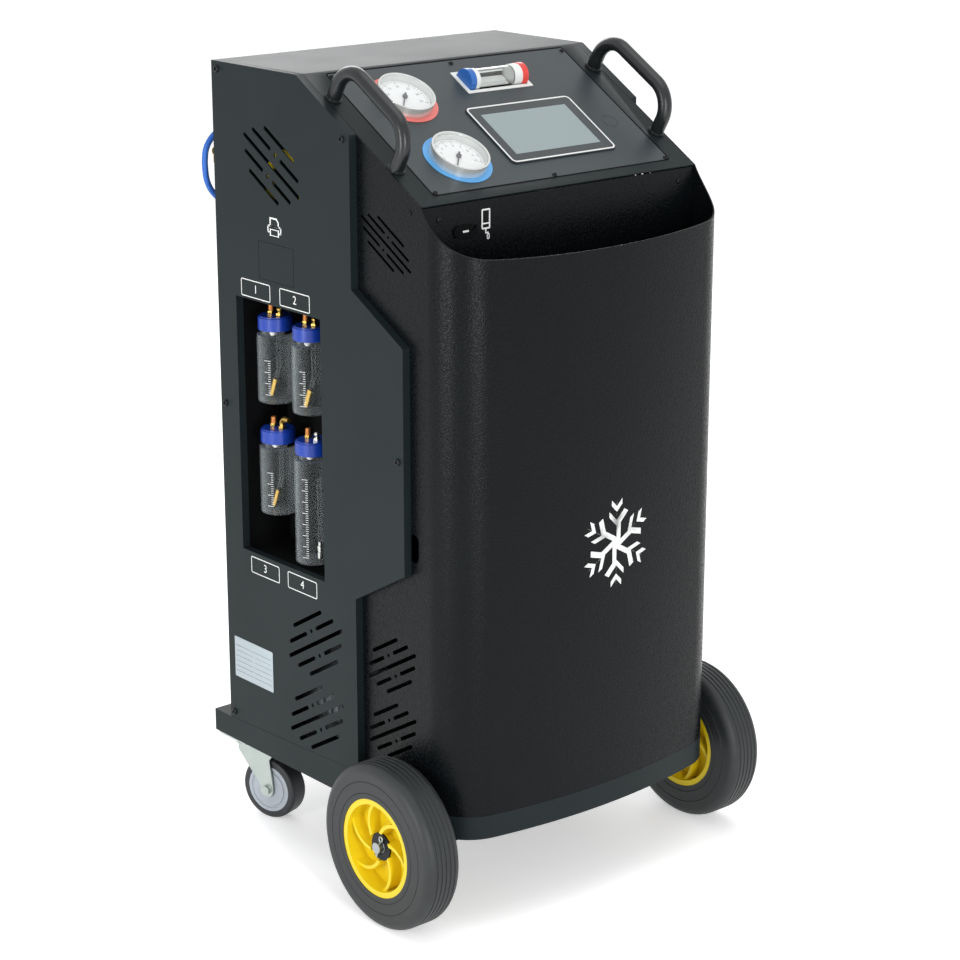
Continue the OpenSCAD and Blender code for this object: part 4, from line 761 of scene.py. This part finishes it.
# %% One screw
def make_screw(name, head_d, head_h):
    screw = begin(name, bpy.ops.mesh.primitive_cylinder_add, vertices=32, radius=head_d / 2, depth=head_h,
                  location=(0, 0, head_h / 2))
    open_up(screw)
    pick_faces(screw, lambda c, n: n.z > 0.9)
    bpy.ops.mesh.bevel(offset=head_h * 0.75, segments=4, affect="EDGES")
    close_up()
    key = begin("key", bpy.ops.mesh.primitive_cylinder_add, vertices=6, radius=head_d * 0.26, depth=head_h,
                location=(0, 0, head_h))
    apply_modifier(screw, "BOOLEAN", operation="DIFFERENCE", object=key, solver="EXACT")
    bpy.data.objects.remove(key)
    return screw


pattern_screw = make_screw("pattern_screw", 10 * mm, 3.2 * mm)
small_screw = make_screw("pattern_small_screw", 7 * mm, 2.2 * mm)
print("a screw has", len(pattern_screw.data.polygons), "faces")

# %% Screws in their places
SIDE_SCREWS = [(237, 1134), (-45, 1071), (239, 655), (-156, 655), (240, 177)]
REAR_SCREWS = [(x, z) for x in (-238, 238) for z in (185, 420, 655, 890, 1128)]
PLATE_SCREWS = [(x, s) for x in (-208, 0, 208) for s in (13, 264)]
POCKET_SCREWS = [(-218, 980), (216, 980)]
cover_side_x = 248 * mm
screws = []
for name, pattern, face, places in (
        ("left_panel", pattern_screw, on_left, SIDE_SCREWS),
        ("right_panel", pattern_screw, on_right, SIDE_SCREWS),
        ("rear_panel", pattern_screw, on_rear, REAR_SCREWS),
        ("plate", small_screw, on_slope, PLATE_SCREWS),
        ("pocket", small_screw, on_pocket, POCKET_SCREWS)):
    for i, (across, along) in enumerate(places, 1):
        screws.append(copy_to(pattern, f"{name}_screw_{i}", face(across, along)))
screws.append(copy_to(small_screw, "cover_screw_left", on_left(-170, 990, -cover_side_x)))
screws.append(copy_to(small_screw, "cover_screw_right", on_right(-170, 990, cover_side_x)))
for screw in screws:
    finish_piece(screw, black_oxide)
for pattern in (pattern_screw, small_screw):
    bpy.data.objects.remove(pattern)
print("set", len(screws), "screws")

# %% [markdown]
# ## Printed frames, numbers and pictograms
# White print is a thin film of ink. A frame starts as a plane whose corners are bevelled; an inset leaves
# the line, and Solidify gives the film its thickness. Numbers are text turned into mesh.

# %% Print helpers
ink = 0.15


def flat_panel(name, width, height, corner=0):
    """A flat sheet with round corners, in mm."""
    panel = begin(name, bpy.ops.mesh.primitive_plane_add, size=1)
    set_down(panel, Matrix.Diagonal((width * mm, height * mm, 1, 1)))
    if corner:
        open_up(panel, "VERT")
        bpy.ops.mesh.bevel(offset=corner * mm, segments=6, affect="VERTICES")
        close_up()
    return panel


def line_frame(name, width, height, corner, line):
    """A line of ink round a rectangle, in mm."""
    panel = flat_panel(name, width, height, corner)
    open_up(panel)
    bpy.ops.mesh.inset(thickness=line * mm)
    bpy.ops.mesh.delete(type="FACE")
    close_up()
    return panel


def flat_figure(words, size):
    """Figures of this height in mm as flat mesh, centred on the origin."""
    bpy.ops.object.select_all(action="DESELECT")
    bpy.ops.object.text_add()
    text = bpy.context.object
    text.data.body = words
    text.data.size = size * mm
    text.data.align_x = "CENTER"
    text.data.align_y = "CENTER"
    bpy.ops.object.convert(target="MESH")
    return bpy.context.object


def shift(piece, x, y):
    return set_down(piece, Matrix.Translation((x * mm, y * mm, 0)))


print("print helpers are ready")

# %% Labels of the four bottles
LABELS = [(158, 834.5), (67, 835), (152, 424), (63, 424)]
for i, (y, z) in enumerate(LABELS, 1):
    frame_line = line_frame("label_line", 69, 25, 3, 1.3)
    label = join_pieces([frame_line, flat_figure(str(i), 17)], f"bottle_label_{i}")
    finish_piece(set_down(thicken(label, ink), on_left(y, z)), white_ink)
print("labels 1 to", len(LABELS))

# %% Printer and telephone pictograms
def folded_sheet(name, width, height, fold, line):
    """The outline of a sheet of paper with one corner folded over, in mm."""
    sheet = flat_panel(name, width, height)
    open_up(sheet, "VERT")
    pick(sheet, lambda mesh: [max(mesh.verts, key=lambda v: v.co.x + v.co.y)])
    bpy.ops.mesh.bevel(offset=fold * mm, segments=1, affect="VERTICES")
    bpy.ops.mesh.select_mode(type="FACE")
    bpy.ops.mesh.select_all(action="SELECT")
    bpy.ops.mesh.inset(thickness=line * mm)
    bpy.ops.mesh.delete(type="FACE")
    close_up()
    return sheet


stroke = 2.4
printer = [
    shift(folded_sheet("sheet_in", 21, 13, 5, stroke), 0, 7),
    shift(flat_panel("printer_top", 32, stroke, 0.9), 0, 1.6),
    shift(line_frame("sheet_out", 21, 12, 0.8, stroke), 0, -7.5)]
for hand in (-1, 1):
    printer.append(shift(flat_panel("printer_side", stroke, 10.6, 0.9), hand * 14.8, -2.6))
    printer.append(shift(flat_panel("printer_foot", 4.4, stroke, 0.9), hand * 13.4, -7.2))
printer = join_pieces(printer, "printer_pictogram")
finish_piece(set_down(thicken(printer, ink), on_left(110, 930)), white_ink)
phone = join_pieces([
    line_frame("phone_case", 15, 27, 2, 2.2),
    shift(flat_panel("phone_bar", 10.6, 2.0), 0, -6),
    shift(flat_panel("phone_lead", 2.0, 4.0), 0, -15.5),
    shift(flat_panel("phone_lead_turn", 6.0, 2.0), 2.0, -18.5),
    shift(line_frame("phone_plug", 5.0, 8.0, 2.4, 1.6), 4.0, -23.5)],
    "phone_pictogram")
finish_piece(set_down(thicken(phone, ink), on_pocket(-138, 972)), white_ink)
print("pictograms are printed")

# %% [markdown]
# ## Marks and small parts of the bottles
# The bottles carry moulded level marks. A mark is a short arc, so it starts as an open cylinder just outside
# the wall; the faces away from the front are deleted, and Solidify makes the rest a raised line. Long and
# short marks are modelled once each and copied up the wall.

# %% Level marks
mark_deg = 205


def level_mark(name, radius, from_deg, to_deg):
    """A raised arc on a bottle of this radius, between two angles round its axis."""
    mark = begin(name, bpy.ops.mesh.primitive_cylinder_add, vertices=180, radius=radius, depth=0.7 * mm,
                 end_fill_type="NOTHING")
    middle = radians((from_deg + to_deg) / 2)
    reach = cos(radians((to_deg - from_deg) / 2))
    open_up(mark)
    pick_faces(mark, lambda c, n: (c.x * cos(middle) + c.y * sin(middle)) < reach * c.length)
    bpy.ops.mesh.delete(type="FACE")
    close_up()
    return thicken(mark, 0.12)


def mark_bottle(index, first, last, step):
    """Marks from first to last mm above the bottle's foot; every fifth one is long."""
    low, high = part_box(f"bottle_{index}")
    axis = centre_of(f"bottle_{index}")
    radius = (high.x - low.x) / 2 + 0.02 * mm
    long_mark = level_mark("long_mark", radius, mark_deg - 10, mark_deg + 10)
    short_mark = level_mark("short_mark", radius, mark_deg + 2, mark_deg + 10)
    marks = []
    for i in range(int((last - first) / step) + 1):
        source = short_mark if i % 5 else long_mark
        place = Matrix.Translation((axis.x, axis.y, low.z + (first + i * step) * mm))
        marks.append(copy_to(source, "mark", place))
    for pattern in (long_mark, short_mark):
        bpy.data.objects.remove(pattern)
    marks = join_pieces(marks, f"bottle_{index}_level_marks")
    finish_piece(marks, white_plastic, f"oil_bottle_{index}")
    return len(marks.data.polygons)


print("level marks:", [mark_bottle(i, 14, 64, 3.3) for i in (1, 2, 3)], mark_bottle(4, 12, 128, 3.3))

# %% [markdown]
# ## Under the caps
# A white breather hangs under each cap, and the tall bottle has a nickel sinker on its own tube. Both are
# turned parts: a cylinder whose end face is drawn out and resized, step by step, as on a lathe.

# %% Breathers and the sinker
def turned(name, steps):
    """A turned part along -Z: each step gives a radius and a length in mm."""
    radius, length = steps[0]
    part = begin(name, bpy.ops.mesh.primitive_cylinder_add, vertices=24, radius=radius * mm,
                 depth=length * mm, location=(0, 0, -length / 2 * mm))
    open_up(part)
    for next_radius, length in steps[1:]:
        bottom = min(v.co.z for v in bmesh.from_edit_mesh(part.data).verts)
        pick_faces(part, lambda c, n: n.z < -0.9 and c.z < bottom + 0.01 * mm)
        bpy.ops.mesh.extrude_region_move(TRANSFORM_OT_translate={"value": (0, 0, -0.3 * mm)})
        bpy.ops.transform.resize(value=(next_radius / radius, next_radius / radius, 1))
        bpy.ops.mesh.extrude_region_move(TRANSFORM_OT_translate={"value": (0, 0, -length * mm)})
        radius = next_radius
    close_up()
    return part


breather = turned("pattern_breather", [(2.2, 7), (4.8, 3), (3.4, 1.5)])
for index in (1, 2, 3, 4):
    axis = centre_of(f"bottle_{index}_cap")
    under_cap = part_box(f"bottle_{index}_cap")[0].z + 1 * mm
    hang = Matrix.Translation((axis.x, axis.y + 7 * mm, under_cap))
    piece = copy_to(breather, f"bottle_{index}_breather", hang)
    finish_piece(piece, white_plastic, f"oil_bottle_{index}")
bpy.data.objects.remove(breather)
tall_low, tall_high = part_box("bottle_4")
tall_axis = centre_of("bottle_4")
tube_y = tall_axis.y - 13 * mm
sinker = turned("bottle_4_sinker", [(2.6, 5), (4.2, 7), (3.0, 2.5), (4.2, 9)])
set_down(sinker, Matrix.Translation((tall_axis.x, tube_y, tall_low.z + 31 * mm)))
finish_piece(sinker, nickel, "oil_bottle_4")
sink_tube = turned("bottle_4_tube", [(3.2, 60), (3.0, 35)])
set_down(sink_tube, Matrix.Translation((tall_axis.x, tube_y, tall_low.z + 126.5 * mm)))
finish_piece(sink_tube, bottle_plastic, "oil_bottle_4")
print("tall bottle from", round(tall_low.z, 4), "to", round(tall_high.z, 4))

# %% [markdown]
# ## Collar rings
# Each handle foot stands in a thin dark ring on the painted slope. The ring starts as a cylinder; its ends
# are inset and bridged, which opens the hole, and a small bevel rounds it.

# %% Collar rings
def collar_ring(name, inner, outer, height):
    ring = begin(name, bpy.ops.mesh.primitive_cylinder_add, vertices=48, radius=outer * mm,
                 depth=height * mm, location=(0, 0, height / 2 * mm))
    open_up(ring)
    pick_faces(ring, lambda c, n: abs(n.z) > 0.9)
    bpy.ops.mesh.inset(thickness=(outer - inner) * mm)
    bpy.ops.mesh.bridge_edge_loops()
    close_up()
    apply_modifier(ring, "BEVEL", width=0.2 * mm, segments=2, limit_method="ANGLE")
    return ring


ring_pattern = collar_ring("pattern_collar_ring", 11.6, 13.0, 0.9)
for side, x in (("left", -235), ("right", 235)):
    for end, s in (("upper", 57), ("lower", 210)):
        ring = copy_to(ring_pattern, f"{side}_{end}_collar_ring", on_slope(x, s))
        finish_piece(ring, black_oxide)
print("collar rings have", len(ring_pattern.data.polygons), "faces each")
bpy.data.objects.remove(ring_pattern)

# %% [markdown]
# ## Name plate
# The machine carries a small aluminium plate with ruled lines, left blank here. It is a plane with rounded
# corners that Solidify thickens, and the rules are thin bars of ink.

# %% Name plate
plate_y, plate_z = 186.5, 268.5
plate_thick = 0.6
plate = thicken(flat_panel("name_plate", 95, 63, 2), plate_thick)
apply_modifier(plate, "BEVEL", width=0.2 * mm, segments=2, limit_method="ANGLE")
finish_piece(set_down(plate, on_left(plate_y, plate_z)), plate_metal)
rules = [shift(flat_panel("rule", 42, 0.6), column, row)
         for column in (-23, 23) for row in (-22, -14, -6, 2, 10)]
rules.append(shift(flat_panel("rule", 88, 0.9), 0, 18))
rules = thicken(join_pieces(rules, "name_plate_rules"), ink)
set_down(rules, on_left(plate_y, plate_z, left_x - plate_thick * mm))
finish_piece(rules, grey_ink)
print("name plate is on")

# %% [markdown]
# ## Screen print and display
# The touch screen is a sheet of glass with a dark printed border, a thin white line round it and a plain
# grey display, which is off.

# %% Touch screen face
screen_h = 2.5
outline = thicken(line_frame("screen_outline", 189, 119, 8, 2.4), ink)
finish_piece(set_down(outline, on_slope(45.8, 172, screen_h)), white_ink)
display = thicken(flat_panel("screen_display", 154, 86, 0.6), ink)
finish_piece(set_down(display, on_slope(44.5, 172.8, screen_h)), display_off)
print("screen face is on")

# %% Gasket and sight card
gasket = thicken(line_frame("plate_gasket", 429, 265, 6, 2.2), ink)
finish_piece(set_down(gasket, on_slope(0, 137, 0.05)), bay_paint)
card = thicken(flat_panel("sight_card", 58, 20, 3), 0.5)
finish_piece(set_down(card, on_slope(39, 57.5, -2.0)), white_plastic)
usb_low, usb_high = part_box("usb_port")
tongue = thicken(flat_panel("usb_tongue", 10, 2.6, 0.4), 0.5)
usb_middle = centre_of("usb_port")
set_down(tongue, face_place((usb_middle.x, usb_low.y + 1.2 * mm, usb_middle.z), (1, 0, 0), (0, -1, 0)))
finish_piece(tongue, white_plastic)
print("gasket, sight card and tongue are in; the port is", [round(v, 4) for v in usb_high - usb_low])

# %% [markdown]
# ## Gauge dials
# A dial is a white card with ticks and plain figures, printed over the swing of its needle. Each tick is a
# thin sheet turned to its angle; every fifth one is longer and has a figure.

# %% Dials
dial_r = 36.5
dial_height = 4.05
card_thick = 0.3
figure_r = 24
rest_deg = 230
swing_deg = 260


def tick(angle_deg, outer, length, width):
    """One radial mark, drawn along X and turned to its angle."""
    mark = flat_panel("tick", length, width)
    reach = Matrix.Translation(((outer - length / 2) * mm, 0, 0))
    return set_down(mark, Matrix.Rotation(radians(angle_deg), 4, "Z") @ reach)


def dial(which, figures):
    """A card disc and its print, set down inside a gauge case."""
    s = gauge_s[which]
    card = begin(which + "_gauge_card", bpy.ops.mesh.primitive_circle_add, vertices=96, radius=dial_r * mm,
                 fill_type="NGON")
    thicken(card, card_thick)
    finish_piece(set_down(card, on_slope(gauge_x, s, dial_height)), dial_card)
    marks = []
    steps = 5 * (len(figures) - 1)
    for i in range(steps + 1):
        angle = rest_deg - swing_deg * i / steps
        whole = i % 5 == 0
        marks.append(tick(angle, 34.5, 5.5 if whole else 3.2, 0.9 if whole else 0.45))
        if whole:
            figure = flat_figure(str(figures[i // 5]), 6.2)
            marks.append(shift(figure, figure_r * cos(radians(angle)), figure_r * sin(radians(angle))))
    marks = thicken(join_pieces(marks, which + "_gauge_marks"), ink)
    finish_piece(set_down(marks, on_slope(gauge_x, s, dial_height + card_thick)), grey_ink)
    return len(marks.data.polygons)


print("dial faces:", dial("upper", range(0, 40, 5)), dial("lower", range(0, 11)))

# %% [markdown]
# ## A snowflake on the front
# The cover carries a plain white snowflake. It starts as a hexagon; each side is drawn out into an arm, and
# side branches are drawn out of the arm's edges. Shrinkwrap then lays it on the bowed sheet.

# %% Snowflake
arm_w = 8.5 * mm


def draw_out(piece, middle, move):
    """In edit mode, extrudes the edge that lies at this middle point, and returns its new middle."""
    pick(piece, lambda mesh: [
        min(mesh.edges, key=lambda e: ((e.verts[0].co + e.verts[1].co) / 2 - middle).length)])
    bpy.ops.mesh.extrude_region_move(TRANSFORM_OT_translate={"value": move})
    return middle + move


snowflake = begin("front_snowflake", bpy.ops.mesh.primitive_circle_add, vertices=6, radius=arm_w,
                  fill_type="NGON", rotation=(0, 0, radians(30)))
open_up(snowflake, "EDGE")
side_middle = arm_w * cos(radians(30))
for k in range(6):
    angle = radians(60 * k)
    along = Vector((cos(angle), sin(angle), 0))
    across = Vector((-sin(angle), cos(angle), 0))
    middle = along * side_middle
    for length in (16, 8, 12, 8, 10):
        start = middle
        middle = draw_out(snowflake, middle, along * length * mm)
        if length == 8:
            branch = 20 * mm if start.length < 40 * mm else 14 * mm
            for hand in (-1, 1):
                root = (start + middle) / 2 + across * hand * arm_w / 2
                draw_out(snowflake, root, (along + across * hand).normalized() * branch)
close_up()
print("snowflake has", len(snowflake.data.polygons), "faces")

# %% Lay the snowflake on the cover
flake_place = face_place((13 * mm, cad_low.y - 5 * mm, 518 * mm), (1, 0, 0), (0, -1, 0))
upright = Matrix.Rotation(radians(90), 4, "Z")
set_down(snowflake, flake_place @ upright)
apply_modifier(snowflake, "SHRINKWRAP", target=eased["front_cover"], wrap_method="PROJECT",
               use_project_x=False, use_project_y=True, use_project_z=False,
               use_positive_direction=True, use_negative_direction=False, offset=0.06 * mm)
finish_piece(thicken(snowflake, ink), white_ink)
print("snowflake lies at", [round(v, 3) for v in snowflake.data.vertices[0].co])

# %% [markdown]
# ## Cotter pins
# A split pin through each axle end keeps the wheel on. It is bent wire: a torus makes the eye, and two legs
# that part at their ends run through the axle.

# %% Cotter pins
def cotter_pin(name, side):
    wire_r = 0.95 * mm
    legs = [begin("eye", bpy.ops.mesh.primitive_torus_add, major_radius=3.4 * mm, minor_radius=1.0 * mm,
                  major_segments=24, minor_segments=10, rotation=(0, radians(90), 0),
                  location=(0, 0, 14.5 * mm))]
    for gap in (-1, 1):
        leg = begin("leg", bpy.ops.mesh.primitive_cylinder_add, vertices=12, radius=wire_r, depth=27 * mm,
                    location=(0, gap * wire_r, -1.5 * mm))
        open_up(leg)
        pick_faces(leg, lambda c, n: n.z < -0.9)
        bpy.ops.mesh.extrude_region_move(TRANSFORM_OT_translate={"value": (0, gap * 2.5 * mm, -1.5 * mm)})
        close_up()
        legs.append(leg)
    pin = join_pieces(legs, name)
    tilt = Matrix.Rotation(radians(20), 4, "X")
    pin_x = side * (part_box("front_axle")[1].x - 5 * mm)
    set_down(pin, Matrix.Translation((pin_x, axle_middle.y, axle_middle.z)) @ tilt)
    return finish_piece(pin, zinc)


cotter_pin("left_cotter_pin", -1)
cotter_pin("right_cotter_pin", 1)
print("cotter pins are in")

# %% [markdown]
# ## Floor, light and background
# A product photograph stands on a white sweep under soft light. The floor keeps the shadow; the world is
# plain white for what the camera, the gloss and the clear pieces see, and a little dimmer as a light.

# %% Stage
floor = begin("studio_floor", bpy.ops.mesh.primitive_plane_add, size=60)
floor_paint, tree, shader, place = start_finish(
    "paper_studio_white", {"Roughness": 0.9, "Specular IOR Level": 0.0, "Emission Color": (1, 1, 1, 1)})
wire_tone(tree, shader, noise(tree, place, 400 * mm), "#ffffff", "#fdfdfd")


def seen_rays(tree, hidden, shown):
    """One value for rays that come from the camera, from gloss or through glass, another for the rest."""
    path = add_node(tree, "ShaderNodeLightPath").outputs
    seen = add_node(tree, "ShaderNodeMath", {0: path["Is Camera Ray"], 1: path["Is Glossy Ray"]},
                    operation="MAXIMUM")
    seen = add_node(tree, "ShaderNodeMath", {0: seen.outputs[0], 1: path["Is Transmission Ray"]},
                    operation="MAXIMUM")
    return add_node(tree, "ShaderNodeMapRange",
                    {"Value": seen.outputs[0], "To Min": hidden, "To Max": shown}).outputs["Result"]


tree.links.new(seen_rays(tree, 0.0, 0.40), shader.inputs["Emission Strength"])
floor.data.materials.append(floor_paint)

world = bpy.data.worlds.new("studio")
bpy.context.scene.world = world
world.use_nodes = True
tree = world.node_tree
background = tree.nodes["Background"]
background.inputs["Color"].default_value = (1, 1, 1, 1)
tree.links.new(seen_rays(tree, 0.70, 1.0), background.inputs["Strength"])


def softbox(name, place, target, width, height, watts):
    """A soft panel of light that faces a point."""
    aim = (Vector(target) - Vector(place)).to_track_quat("-Z", "Y").to_euler()
    bpy.ops.object.light_add(type="AREA", location=place, rotation=aim)
    lamp = bpy.context.object
    lamp.name = name
    lamp.data.shape = "RECTANGLE"
    lamp.data.size = width
    lamp.data.size_y = height
    lamp.data.energy = watts
    lamp.visible_camera = False
    lamp.visible_transmission = False
    return lamp


softbox("left_strip", (-2.75, -0.35, 0.9), (-0.25, -0.27, 0.8), 0.25, 1.4, 25)
softbox("front_strip", (-1.05, -2.60, 0.9), (-0.25, -0.27, 0.8), 0.25, 1.4, 24)
softbox("top_panel", (0.0, -0.5, 3.2), (0, 0, 0.9), 2.0, 2.0, 16)
softbox("back_panel", (1.8, 3.2, 2.6), (0, 0, 1.0), 3.0, 1.6, 56)
bpy.context.scene.view_settings.view_transform = "Standard"
print("stage is lit")
